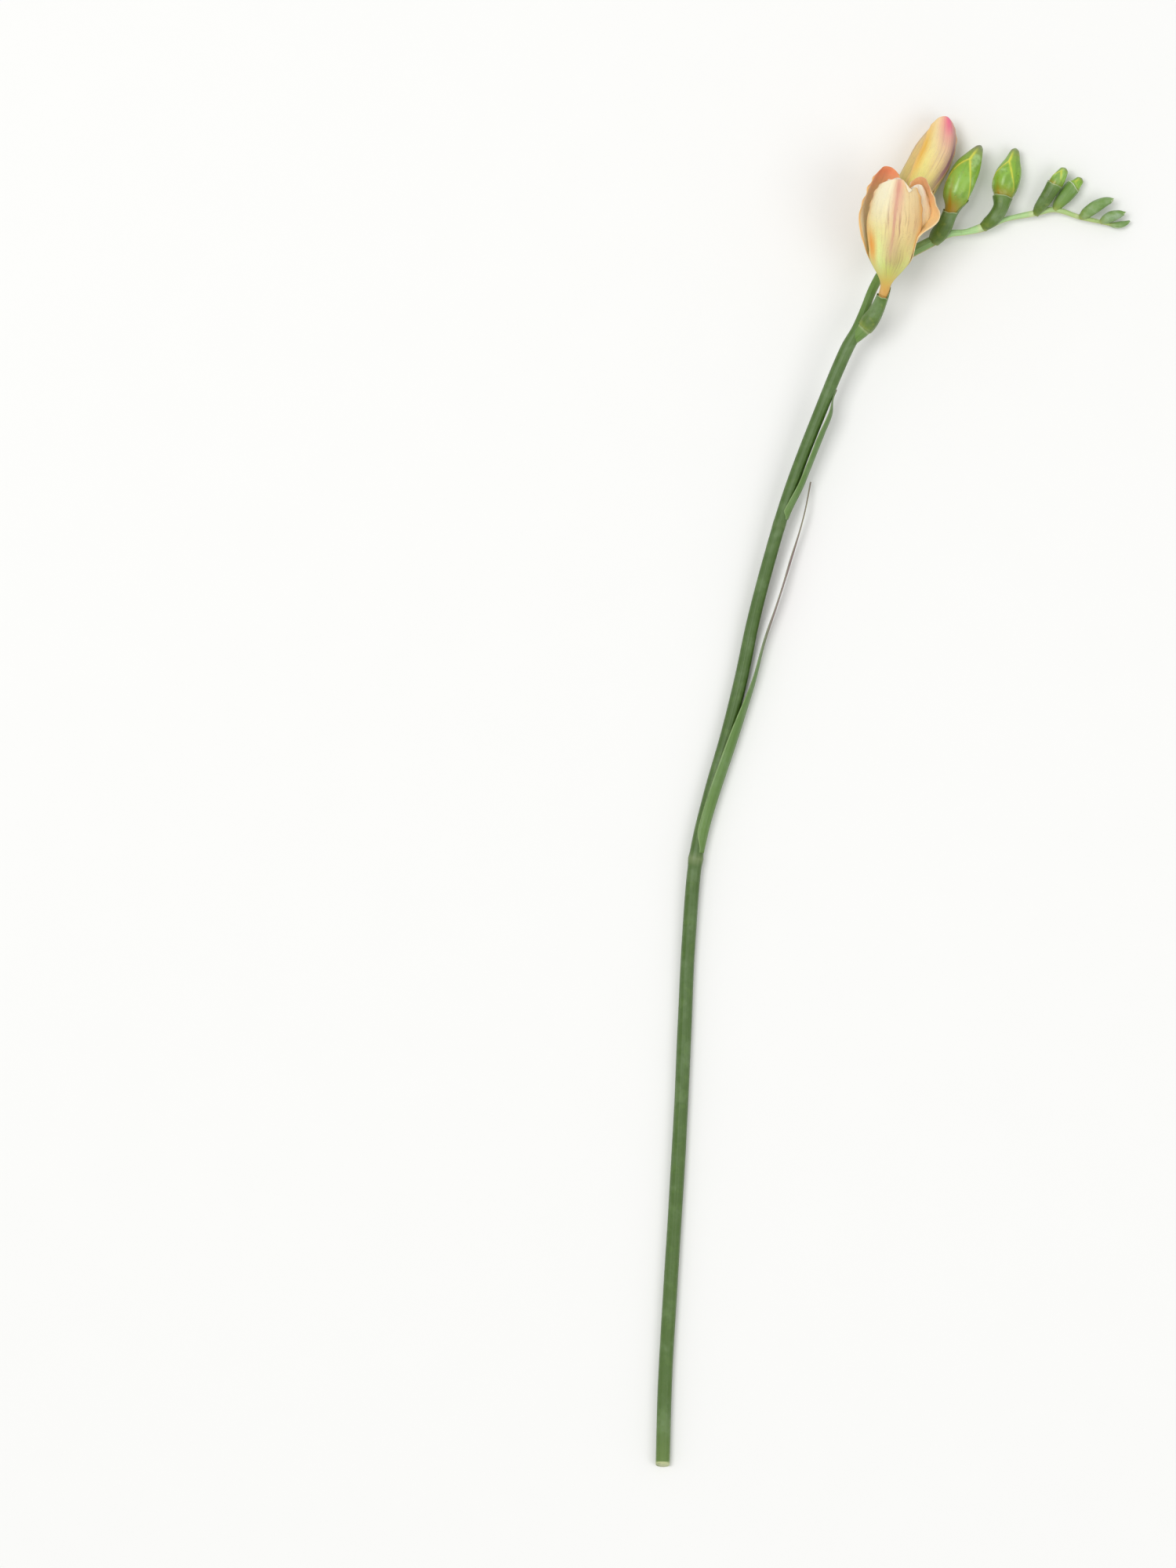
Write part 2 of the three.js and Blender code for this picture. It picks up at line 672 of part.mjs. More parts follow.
/** A closed bud, from inside its bracts to its tip. */
function budGeometry(spine, bud, bodyRadius) {
	const start = BRACT.cupLength + GAP;
	const bodyStart = bud.bractReach / spine.length;
	const rings = [];
	for (let row = 0; row <= bud.rows; row++) {
		const distance = lerp(start, spine.length, row / bud.rows);
		const ring = budRing(distance / spine.length, bodyStart).map(({ angle, sunk }) => {
			const radius = Math.max(bodyRadius(distance) - sunk, 0.3);
			return spine.around(distance, BUD_FRONT.faces + angle, radius);
		});
		rings.push(ring);
	}
	return ringSurface(rings);
}

// ---------------------------------------------------------------------------
// The whole stem
// ---------------------------------------------------------------------------

const MATERIALS = {
	stem: new THREE.MeshStandardMaterial({ color: 0x5f8548, roughness: 0.55, metalness: 0 }),
	leaf: new THREE.MeshStandardMaterial({ color: 0x6b8a52, roughness: 0.55, metalness: 0 }),
	bract: new THREE.MeshStandardMaterial({ color: 0x567a3c, roughness: 0.5, metalness: 0 }),
	bud: new THREE.MeshStandardMaterial({ color: 0x8fb64c, roughness: 0.4, metalness: 0 }),
	petal: new THREE.MeshStandardMaterial({ color: 0xf3dca0, roughness: 0.45, metalness: 0 }),
	stamen: new THREE.MeshStandardMaterial({ color: 0xe9dfa6, roughness: 0.6, metalness: 0 }),
};

const freesia = new THREE.Group();

function addPiece(name, geometry, material) {
	const mesh = new THREE.Mesh(geometry, material);
	mesh.name = name;
	freesia.add(mesh);
}

function addFlower(flower) {
	const spine = new Spine(flower.spine);
	const bracts = bractPair(spine, flowerBodyRadius(flower), flower.bractReach, flower.bractFoot);
	addPiece(`bracts_${flower.name}`, geometryOf(bracts), MATERIALS.bract);
	addPiece(`flower_${flower.name}`, geometryOf(flowerSolid(spine, flower)), MATERIALS.petal);
	addPiece(`stamens_${flower.name}`, geometryOf(stamensSolid(spine, flower)), MATERIALS.stamen);
}

function addBud(bud) {
	const spine = new Spine(bud.spine);
	const radiusAt = profile(bud.radius);
	const bodyRadius = (distance) => radiusAt(distance / spine.length);
	const bracts = bractPair(spine, bodyRadius, bud.bractReach, bud.bractFoot);
	addPiece(`bracts_${bud.name}`, geometryOf(bracts), MATERIALS.bract);
	const solid = solidOf(budGeometry(spine, bud, bodyRadius)).subtract(stemWithGap);
	addPiece(`bud_${bud.name}`, geometryOf(solid), MATERIALS.bud);
}

function addTipBud() {
	const spine = new Spine(TIP_BUD.spine);
	const radiusAt = profile(TIP_BUD.radius);
	const body = roundSolid(spine, 0, spine.length, 7, 8, (distance) => radiusAt(distance / spine.length));
	addPiece('tip_bud', geometryOf(solidOf(body).subtract(stemWithGap)), MATERIALS.bract);
}

addPiece('stem', geometryOf(stemSolid), MATERIALS.stem);
addPiece('leaf_lower', geometryOf(solidOf(leafGeometry(LOWER_LEAF)).subtract(stemWithGap)), MATERIALS.leaf);
addPiece('leaf_upper', geometryOf(solidOf(leafGeometry(UPPER_LEAF)).subtract(stemWithGap)), MATERIALS.leaf);
addFlower(FLOWER_1);
addFlower(FLOWER_2);
BUDS.forEach(addBud);
addTipBud();

export default freesia;
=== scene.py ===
"""A cut freesia stem lying on a pale table.

Sizes are in millimetres and angles in degrees, until a mesh is written in metres.
+Y runs along the stem from its cut end to the flowers, +X across it and +Z up.
"""

import logging
from dataclasses import dataclass, field, replace
from enum import Enum
from functools import cache
from typing import Callable, NamedTuple, Sequence

import bpy
import numpy as np
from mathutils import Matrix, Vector


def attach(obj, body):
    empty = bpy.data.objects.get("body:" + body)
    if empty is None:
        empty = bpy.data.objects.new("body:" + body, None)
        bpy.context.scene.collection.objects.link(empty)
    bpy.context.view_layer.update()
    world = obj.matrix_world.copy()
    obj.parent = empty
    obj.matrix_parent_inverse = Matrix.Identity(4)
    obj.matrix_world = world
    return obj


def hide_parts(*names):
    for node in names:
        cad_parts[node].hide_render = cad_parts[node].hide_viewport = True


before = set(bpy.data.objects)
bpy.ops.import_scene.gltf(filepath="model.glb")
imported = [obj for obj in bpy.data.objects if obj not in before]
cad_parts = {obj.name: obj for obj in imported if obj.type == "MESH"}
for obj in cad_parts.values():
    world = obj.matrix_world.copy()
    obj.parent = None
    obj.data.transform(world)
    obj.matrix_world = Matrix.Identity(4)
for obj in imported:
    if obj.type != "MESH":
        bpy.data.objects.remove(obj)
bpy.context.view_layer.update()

MM = 0.001
BODY = "root"

log = logging.getLogger("freesia")

Array = np.ndarray
Socket = bpy.types.NodeSocket
Value = float | Socket
Colour = tuple[float, ...] | Socket
Pairs = Sequence[tuple[float, float]]
Points = Sequence[tuple[float, float, float]]
Fields = dict[str, Array | float]
Stops = Sequence[tuple[float, str]]
Material = bpy.types.Material
Object = bpy.types.Object


# ---------------------------------------------------------------------------
# Curves and numbers
# ---------------------------------------------------------------------------


def lerp(start: Value, end: Value, share: Value) -> Value:
    """The value a share of the way from start to end."""
    return start + (end - start) * share


def smoothstep(x: Array, low: float, high: float) -> Array:
    """0 below low and 1 above high, with a smooth rise 3t^2 - 2t^3 between them."""
    t = np.clip((x - low) / (high - low), 0, 1)
    return t * t * (3 - 2 * t)


def bell(x: Array, width: float) -> Array:
    """A bell curve round zero, exp(-(x / width)^2)."""
    return np.exp(-((x / width) ** 2))


def running_sum(slope: Array, v: Array) -> Array:
    """The integral of a slope along each row, zero in the row's middle column.

    Args:
        slope: the slope at each point of the grid.
        v: the place across of each point of the grid.

    Returns:
        The running sums by the trapezium rule.
    """
    steps = (slope[:, 1:] + slope[:, :-1]) / 2 * np.diff(v, axis=1)
    total = np.concatenate([np.zeros((len(slope), 1)), np.cumsum(steps, axis=1)], axis=1)
    return total - total[:, total.shape[1] // 2][:, None]


def cosd(angle: Array) -> Array:
    """The cosine of an angle in degrees."""
    return np.cos(np.radians(angle))


def sind(angle: Array) -> Array:
    """The sine of an angle in degrees."""
    return np.sin(np.radians(angle))


def wrap(angle: Array, turn: float = 360.0) -> Array:
    """An angle less the whole turns in it, from minus half a turn to half a turn."""
    return (angle + turn / 2) % turn - turn / 2


def turns(sides: int, start: float = 0.0) -> Array:
    """A row of angles that step once round, the first one a share of a step past 0."""
    return (np.arange(sides) + start)[None] * 360 / sides


class Profile:
    """A smooth function through [position, value] pairs, flat outside them.

    Between two pairs it is a Hermite cubic whose slope at each pair is the mean of the
    slopes of the straight lines on its two sides.
    """

    def __init__(self, pairs: Pairs) -> None:
        """Works out the slopes.

        Args:
            pairs: the positions, in rising order, and their values.
        """
        self.x, self.y = np.array(pairs, float).T
        secants = np.diff(self.y) / np.diff(self.x)
        inner = (secants[1:] + secants[:-1]) / 2
        self.slopes = np.concatenate([secants[:1], inner, secants[-1:]])

    def __call__(self, x: Array) -> Array:
        """The function itself.

        Args:
            x: any positions.

        Returns:
            The values there.
        """
        x = np.clip(x, self.x[0], self.x[-1])
        i = np.clip(np.searchsorted(self.x, x, side="right") - 1, 0, len(self.x) - 2)
        step = self.x[i + 1] - self.x[i]
        t = (x - self.x[i]) / step
        rise = 3 * t**2 - 2 * t**3
        start = (t**3 - 2 * t**2 + t) * step * self.slopes[i]
        end = (t**3 - t**2) * step * self.slopes[i + 1]
        return self.y[i] * (1 - rise) + self.y[i + 1] * rise + start + end


@dataclass
class Frames:
    """Points on a line with three directions: along it, level across it, and above it."""

    point: Array
    along: Array
    across: Array
    above: Array

    def around(self, angle: Array, radius: Array) -> Array:
        """Points round the line.

        Args:
            angle: 0 is straight up and 90 is across, which is +X where the line runs along +Y.
            radius: the distance from the line.

        Returns:
            One point for each angle and radius.
        """
        rise = np.asarray(radius * cosd(angle))[..., None]
        side = np.asarray(radius * sind(angle))[..., None]
        return self.point + self.above * rise + self.across * side


class Spine:
    """A centripetal Catmull-Rom line through points, with a frame at any distance.

    Each stretch is a Hermite cubic in a parameter whose steps are the square roots of
    the points' distances; the line is extended straight past both ends.
    """

    SAMPLES = 120

    def __init__(self, points: Points) -> None:
        """Samples the line.

        Args:
            points: the points that it passes through.
        """
        knots = np.array(points, float)
        padded = np.vstack([2 * knots[0] - knots[1], knots, 2 * knots[-1] - knots[-2]])
        stretches = len(knots) - 1
        share = np.linspace(0, stretches, stretches * self.SAMPLES + 1)
        i = np.minimum(share.astype(int), stretches - 1)
        t = (share - i)[:, None]
        p0, p1, p2, p3 = (padded[i + k] for k in range(4))
        d0, d1, d2 = (np.sqrt(np.linalg.norm(b - a, axis=1))[:, None]
                      for a, b in ((p0, p1), (p1, p2), (p2, p3)))
        start = ((p1 - p0) / d0 - (p2 - p0) / (d0 + d1) + (p2 - p1) / d1) * d1
        end = ((p2 - p1) / d1 - (p3 - p1) / (d1 + d2) + (p3 - p2) / d2) * d1
        rise = 3 * t**2 - 2 * t**3
        self.points = p1 * (1 - rise) + p2 * rise
        self.points += (t**3 - 2 * t**2 + t) * start + (t**3 - t**2) * end
        steps = np.linalg.norm(np.diff(self.points, axis=0), axis=1)
        self.distances = np.concatenate([[0], np.cumsum(steps)])
        self.shares = share / stretches
        self.length = float(self.distances[-1])
        self.tangents = np.gradient(self.points, axis=0)

    def frames(self, distance: Array) -> Frames:
        """The frames at places on the line.

        Args:
            distance: distances along it.

        Returns:
            A frame for each distance.
        """
        distance = np.asarray(distance, float)
        pick = [np.interp(distance, self.distances, column)
                for column in (*self.points.T, *self.tangents.T)]
        beyond = (distance - np.clip(distance, 0, self.length))[..., None]
        along = np.stack(pick[3:], axis=-1)
        along /= np.linalg.norm(along, axis=-1, keepdims=True)
        across = np.cross(along, [0.0, 0.0, 1.0])
        across /= np.linalg.norm(across, axis=-1, keepdims=True)
        point = np.stack(pick[:3], axis=-1) + along * beyond
        return Frames(point, along, across, np.cross(across, along))

    def frames_by_share(self, share: Array) -> Frames:
        """The frames at shares of the number of stretches, whatever their lengths."""
        return self.frames(np.interp(share, self.shares, self.distances))


# ---------------------------------------------------------------------------
# Meshes
# ---------------------------------------------------------------------------


def grid(rows: int, columns: int) -> tuple[Array, Array]:
    """Two arrays over a grid: q from 0 to 1 down the rows and v from -1 to 1 across."""
    return np.meshgrid(np.linspace(0, 1, rows), np.linspace(-1, 1, columns), indexing="ij")


def normals_of(points: Array) -> Array:
    """The unit normals of a grid of points: its step across crossed with its step along."""
    normal = np.cross(np.gradient(points, axis=1), np.gradient(points, axis=0))
    return normal / np.maximum(np.linalg.norm(normal, axis=-1, keepdims=True), 1e-12)


def band_faces(rows: int, columns: int) -> Array:
    """The quads of a grid whose last column joins its first one.

    Args:
        rows: its rows.
        columns: its columns.

    Returns:
        Four corners a face, numbered row by row.
    """
    row = np.arange(rows - 1)[:, None] * columns
    here = row + np.arange(columns)
    beside = row + (np.arange(columns) + 1) % columns
    return np.stack([here, beside, beside + columns, here + columns], axis=-1).reshape(-1, 4)


def write_mesh(name: str, points: Array, faces: Sequence[Array], fields: Fields) -> Object:
    """A smooth mesh object at the origin.

    Args:
        name: the object's name.
        points: its vertices, one row each, in millimetres.
        faces: arrays of faces, each with the same number of corners down its rows.
        fields: one number a vertex for each named attribute.

    Returns:
        The object, linked to the scene.
    """
    mesh = bpy.data.meshes.new(name)
    corners = np.concatenate([part.ravel() for part in faces])
    sizes = np.concatenate([np.full(len(part), part.shape[1]) for part in faces])
    mesh.vertices.add(len(points))
    mesh.vertices.foreach_set("co", (points * MM).astype(np.float32).ravel())
    mesh.loops.add(len(corners))
    mesh.loops.foreach_set("vertex_index", corners.astype(np.int32))
    mesh.polygons.add(len(sizes))
    mesh.polygons.foreach_set("loop_start", (np.cumsum(sizes) - sizes).astype(np.int32))
    mesh.update(calc_edges=True)
    mesh.polygons.foreach_set("use_smooth", np.ones(len(sizes), bool))
    for key, values in fields.items():
        attribute = mesh.attributes.new(key, "FLOAT", "POINT")
        attribute.data.foreach_set("value", values.astype(np.float32).ravel())
    mesh.validate()
    piece = bpy.data.objects.new(name, mesh)
    bpy.context.scene.collection.objects.link(piece)
    return piece


def tube_mesh(name: str, rings: Array, fields: Fields) -> Object:
    """A closed mesh through rings of points, its two ends closed by fans to their middles.

    Args:
        name: the object's name.
        rings: the points, ring by ring.
        fields: the numbers of each named attribute, which fit the rings when broadcast.

    Returns:
        The object.
    """
    rows, sides = rings.shape[:2]
    points = rings.reshape(-1, 3)
    ends = np.array([rings[0].mean(axis=0), rings[-1].mean(axis=0)])
    first = np.arange(sides)
    beside = (first + 1) % sides
    last = first + (rows - 1) * sides
    near, far = rows * sides, rows * sides + 1
    start = np.stack([np.full(sides, near), beside, first], axis=-1)
    end = np.stack([np.full(sides, far), last, beside + (rows - 1) * sides], axis=-1)
    spread = {}
    for key, values in fields.items():
        full = np.broadcast_to(values, (rows, sides))
        spread[key] = np.concatenate([full.ravel(), [full[0].mean(), full[-1].mean()]])
    return write_mesh(name, np.vstack([points, ends]), [band_faces(rows, sides), start, end], spread)


def shell_mesh(name: str, outer: Array, inner: Array, fields: Fields) -> Object:
    """A closed thin shell between two grids that share their two side edges.

    Each row is one loop, out along the outer face and back along the inner one, and the
    first and last loops are closed by a strip. Adds the attribute "inside", which is 0
    on the outer face and 1 on the inner one.

    Args:
        name: the object's name.
        outer: the grid of the outer face.
        inner: the grid of the inner face, as large.
        fields: one number a grid point for each named attribute.

    Returns:
        The object.
    """
    rows, columns = outer.shape[:2]
    around = 2 * columns - 2
    loops = np.concatenate([outer, inner[:, -2:0:-1]], axis=1)
    front = np.arange(columns)
    back = np.concatenate([[0], np.arange(around - 1, columns - 1, -1), [columns - 1]])
    top = (rows - 1) * around
    middle = slice(1, columns - 2)
    root_quads = np.stack([front[1:], front[:-1], back[:-1], back[1:]], axis=-1)
    tip_quads = np.stack([front[:-1], front[1:], back[1:], back[:-1]], axis=-1) + top
    root_ends = np.array([[front[1], front[0], back[1]], [front[-1], front[-2], back[-2]]])
    tip_ends = np.array([[front[0], front[1], back[1]], [front[-2], front[-1], back[-2]]]) + top
    spread = {
        key: np.concatenate([values, values[:, -2:0:-1]], axis=1).ravel()
        for key, values in fields.items()
    }
    inside = np.zeros((rows, around))
    inside[:, columns:] = 1
    spread["inside"] = inside.ravel()
    faces = [band_faces(rows, around), root_quads[middle], tip_quads[middle], root_ends, tip_ends]
    return write_mesh(name, loops.reshape(-1, 3), faces, spread)


def dress(piece: Object, node: str, material: Material) -> None:
    """Puts a material on a piece and says which node it stands for.

    Args:
        piece: the piece.
        node: the node that it replaces.
        material: its material.
    """
    piece.data.materials.append(material)
    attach(piece, BODY)
    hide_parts(node)
    log.info("%s stands for %s, %d faces", piece.name, node, len(piece.data.polygons))


# ---------------------------------------------------------------------------
# Finishes
# ---------------------------------------------------------------------------


def hue(code: str) -> tuple[float, ...]:
    """The linear colour of a screen colour.

    Args:
        code: six hexadecimal digits.

    Returns:
        Red, green, blue and an alpha of 1.
    """
    levels = np.array([int(code[i:i + 2], 16) for i in (0, 2, 4)]) / 255
    linear = np.where(levels <= 0.04045, levels / 12.92, ((levels + 0.055) / 1.055) ** 2.4)
    return (*linear.tolist(), 1.0)


class Shader:
    """A material under construction, with a short call for each kind of node."""

    def __init__(self, name: str) -> None:
        """Starts a material with one surface shader.

        Args:
            name: the material's name.
        """
        self.material = bpy.data.materials.new(name)
        self.material.use_nodes = True
        self.nodes = self.material.node_tree.nodes
        self.links = self.material.node_tree.links
        self.nodes.clear()
        self.surface = self.nodes.new("ShaderNodeBsdfPrincipled")
        output = self.nodes.new("ShaderNodeOutputMaterial")
        self.links.new(self.surface.outputs["BSDF"], output.inputs["Surface"])

    def put(self, socket: Socket, value: Value | Colour) -> None:
        """Links a socket to another or sets its own value.

        Args:
            socket: an input.
            value: an output to link it to, or a number or colour.
        """
        if isinstance(value, bpy.types.NodeSocket):
            self.links.new(value, socket)
        else:
            socket.default_value = value

    def attribute(self, name: str) -> Socket:
        """A number that each point of the mesh holds.

        Args:
            name: the attribute's name.

        Returns:
            The output that gives it.
        """
        node = self.nodes.new("ShaderNodeAttribute")
        node.attribute_name = name
        return node.outputs["Fac"]

    def place(self) -> Socket:
        """The point's own place, in metres."""
        return self.nodes.new("ShaderNodeTexCoord").outputs["Object"]

    def vector(self, x: Value, y: Value, z: Value) -> Socket:
        """Joins three numbers.

        Args:
            x: the first one.
            y: the second one.
            z: the third one.

        Returns:
            The vector.
        """
        node = self.nodes.new("ShaderNodeCombineXYZ")
        for socket, value in zip(node.inputs, (x, y, z)):
            self.put(socket, value)
        return node.outputs[0]

    def math(self, operation: str, first: Value, second: Value = 0.0) -> Socket:
        """One sum.

        Args:
            operation: what it does.
            first: the first number.
            second: the second number.

        Returns:
            The result.
        """
        node = self.nodes.new("ShaderNodeMath")
        node.operation = operation
        self.put(node.inputs[0], first)
        self.put(node.inputs[1], second)
        return node.outputs[0]

    def times(self, *values: Value) -> Socket:
        """Multiplies several numbers.

        Args:
            values: the numbers.

        Returns:
            Their product.
        """
        product = values[0]
        for value in values[1:]:
            product = self.math("MULTIPLY", product, value)
        return product

    def rise(self, value: Value, low: float, high: float) -> Socket:
        """A smooth step.

        Args:
            value: the number to step on.
            low: where the step is 0.
            high: where it is 1, which may be the lower of the two.

        Returns:
            A number from 0 to 1.
        """
        node = self.nodes.new("ShaderNodeMapRange")
        node.interpolation_type = "SMOOTHSTEP"
        self.put(node.inputs["Value"], value)
        node.inputs["From Min"].default_value = low
        node.inputs["From Max"].default_value = high
        return node.outputs[0]

    def ramp(self, value: Value, stops: Stops) -> Socket:
        """A colour that runs smoothly through stops.

        Args:
            value: the place on the ramp.
            stops: the position and screen colour of each stop.

        Returns:
            The colour.
        """
        node = self.nodes.new("ShaderNodeValToRGB")
        node.color_ramp.interpolation = "B_SPLINE" if len(stops) > 3 else "EASE"
        elements = node.color_ramp.elements
        while len(elements) < len(stops):
            elements.new(0.5)
        for element, (position, code) in zip(elements, stops):
            element.position = position
            element.color = hue(code)
        self.put(node.inputs["Fac"], value)
        return node.outputs["Color"]

    def mix(self, share: Value, under: Colour, over: Colour) -> Socket:
        """Lays one colour over another.

        Args:
            share: how much of the upper colour shows.
            under: the lower colour.
            over: the upper colour.

        Returns:
            The colour.
        """
        node = self.nodes.new("ShaderNodeMix")
        node.data_type = "RGBA"
        self.put(node.inputs[0], share)
        self.put(node.inputs[6], under)
        self.put(node.inputs[7], over)
        return node.outputs[2]

    def tint(self, colour: Socket, code: str, *amounts: Value) -> Socket:
        """Lays a screen colour over another, as much as the product of some amounts."""
        return self.mix(self.times(*amounts), colour, hue(code))

    def noise(self, vector: Socket, scale: float, detail: float = 3.0) -> Socket:
        """Cloudy noise.

        Args:
            vector: where it is read.
            scale: how many clouds there are in a unit.
            detail: how many finer layers it has.

        Returns:
            A number from 0 to 1.
        """
        node = self.nodes.new("ShaderNodeTexNoise")
        node.inputs["Scale"].default_value = scale
        node.inputs["Detail"].default_value = detail
        self.put(node.inputs["Vector"], vector)
        return node.outputs[0]

    def finish(
        self, colour: Colour, roughness: Value, height: Value, depth: float, **settings: float
    ) -> Material:
        """Sets the surface and ends the material.

        Args:
            colour: the base colour.
            roughness: the surface's roughness.
            height: the relief, from 0 to 1.
            depth: the relief's depth in millimetres.
            settings: other sockets of the surface, with _ for each space.

        Returns:
            The finished material.
        """
        bump = self.nodes.new("ShaderNodeBump")
        bump.inputs["Distance"].default_value = depth * MM
        self.put(bump.inputs["Height"], height)
        self.put(self.surface.inputs["Base Color"], colour)
        self.put(self.surface.inputs["Roughness"], roughness)
        self.links.new(bump.outputs["Normal"], self.surface.inputs["Normal"])
        for name, value in settings.items():
            self.surface.inputs[name.replace("_", " ")].default_value = value
        return self.material


class Flush(NamedTuple):
    """A tint on a tepal: strongest at one place across, and half way between two heights."""

    colour: str
    middle: float
    half_width: float
    low: float
    high: float
    amount: float


class SkinCloud(NamedTuple):
    """Clouds of a colour on a skin, real blotches and painted sheen alike: their number in a metre, and
    the noise that shows one.
    """

    colour: str
    scale: float
    threshold: float
    amount: float


class Grain(NamedTuple):
    """The noises of a tepal: coarse and fine threads along it, fine speckles and wide clouds."""

    threads: Socket
    fine: Socket
    speckle: Socket
    mottle: Socket


@dataclass(frozen=True)
class TepalFinish:
    """Silky tepal: green and tan low down, cream above, with a dusky midrib and fine streaks.

    The height attribute is the height above the bracts over HEIGHT_UNIT, and side runs
    from -1 to 1 across the tepal. The inside attribute is 1 on its inner face.
    """

    name: str
    outside: Stops
    inside: Stops
    flushes: Sequence[Flush] = ()
    midrib: str = "cf8a80"
    midrib_amount: float = 0.8
    vein: str = "96705e"
    vein_amount: float = 0.5
    vein_side: float = 0.45
    edge: str = "f0b878"
    edge_amount: float = 0.6
    cloud: str = "e2c08a"
    streak: str = "eba868"
    freckle: str = "b98058"
    grain_amount: float = 1.0
    lining_edge: str = "fbdcae"
    thread_count: float = 13.0
    fine_count: float = 44.0
    drift_scale: float = 70.0
    mottle_scale: float = 300.0
    speckle_scale: float = 1700.0
    depth: float = 0.09

    def flush(self, s: Shader, colour: Socket, threads: Socket, tint: Flush) -> Socket:
        """Lays one tint on.

        Args:
            s: the material's shader.
            colour: the colour so far.
            threads: the noise that breaks the tint up into threads.
            tint: the tint.

        Returns:
            The new colour.
        """
        off = s.math("ABSOLUTE", s.math("SUBTRACT", s.attribute("side"), tint.middle))
        height = s.attribute("height")
        peak = (tint.low + tint.high) / 2
        over = s.times(
            s.rise(off, tint.half_width, 0.0),
            s.rise(height, tint.low, peak),
            s.rise(height, tint.high, peak),
        )
        rough = s.math("ADD", 0.6, s.times(threads, 0.8))
        return s.tint(colour, tint.colour, over, rough, tint.amount)

    def skin(self, s: Shader, grain: Grain) -> Socket:
        """The outer face's colour: flushed, veined, with a midrib, its halo and a warm edge.

        Args:
            s: the material's shader.
            grain: its noises.

        Returns:
            The colour.
        """
        height, side = s.attribute("height"), s.attribute("side")
        spread = s.math("ABSOLUTE", side)
        colour = s.ramp(height, self.outside)
        colour = s.tint(colour, self.cloud, s.rise(grain.mottle, 0.4, 0.8), 0.3)
        for tint in self.flushes:
            colour = self.flush(s, colour, grain.threads, tint)
        low = s.times(s.rise(height, 0.05, 0.3), s.rise(height, 1.0, 0.6))
        toward = s.rise(s.math("ABSOLUTE", s.math("SUBTRACT", side, self.vein_side)), 0.85, 0.0)
        veins = s.rise(grain.threads, 0.5, 0.72)
        colour = s.tint(colour, self.vein, veins, low, toward, self.vein_amount)
        dots = s.times(s.rise(grain.fine, 0.5, 0.75), s.rise(grain.speckle, 0.35, 0.65))
        colour = s.tint(colour, self.vein, dots, low, 0.4)
        rib_height = s.times(
            s.rise(height, 0.2, 0.62),
            s.rise(height, 1.08, 0.86),
            s.math("ADD", 0.3, grain.threads),
            self.midrib_amount,
        )
        halo = s.times(s.rise(spread, 0.3, 0.0), s.math("ADD", 0.3, grain.fine), 0.6)
        colour = s.tint(colour, self.midrib, halo, rib_height)
        rib = s.times(s.rise(spread, 0.075, 0.0), s.math("ADD", 0.35, grain.fine))
        colour = s.tint(colour, self.midrib, rib, rib_height)
        edge = s.times(s.rise(spread, 0.78, 1.0), s.rise(height, 0.2, 0.4))
        return s.tint(colour, self.edge, edge, self.edge_amount)

    def lining(self, s: Shader, grain: Grain) -> Socket:
        """The inner face's colour: threaded, freckled and pale along the edge.

        Args:
            s: the material's shader.
            grain: its noises.

        Returns:
            The colour.
        """
        spread = s.math("ABSOLUTE", s.attribute("side"))
        colour = s.ramp(s.attribute("height"), self.inside)
        colour = s.tint(colour, self.streak, s.rise(grain.threads, 0.46, 0.7), 0.2 * self.grain_amount)
        freckles = s.times(s.rise(grain.fine, 0.5, 0.75), s.rise(grain.speckle, 0.3, 0.65))
        colour = s.tint(colour, self.freckle, freckles, 0.3 * self.grain_amount)
        return s.tint(colour, self.lining_edge, s.rise(spread, 0.8, 0.98), 0.85)

    @cache
    def material(self) -> Material:
        """Builds the material, once.

        Returns:
            The material.
        """
        s = Shader(self.name)
        height, side = s.attribute("height"), s.attribute("side")
        drift = s.times(s.math("SUBTRACT", s.noise(s.place(), self.drift_scale, 2.0), 0.5), 0.22)
        bent = s.math("ADD", side, drift)
        coarse_place = s.vector(s.times(bent, self.thread_count), s.times(height, 2.6), 0.0)
        fine_place = s.vector(s.times(bent, self.fine_count), s.times(height, 9.0), 3.0)
        grain = Grain(
            threads=s.noise(coarse_place, 1.0, 6.0),
            fine=s.noise(fine_place, 1.0, 3.0),
            speckle=s.noise(s.place(), self.speckle_scale, 2.0),
            mottle=s.noise(s.place(), self.mottle_scale, 5.0),
        )
        colour = s.mix(s.attribute("inside"), self.skin(s, grain), self.lining(s, grain))
        relief = s.math("ADD", s.times(grain.threads, 0.55), s.times(grain.fine, 0.45))
        roughness = s.math("ADD", 0.4, s.times(grain.mottle, 0.2))
        material = s.finish(
            colour, roughness, relief, self.depth,
            Subsurface_Weight=0.35, Subsurface_Scale=0.0015, Specular_IOR_Level=0.3,
            Sheen_Weight=0.1, Sheen_Roughness=0.4,
        )
        s.surface.inputs["Subsurface Radius"].default_value = (1.0, 0.62, 0.35)
        return material


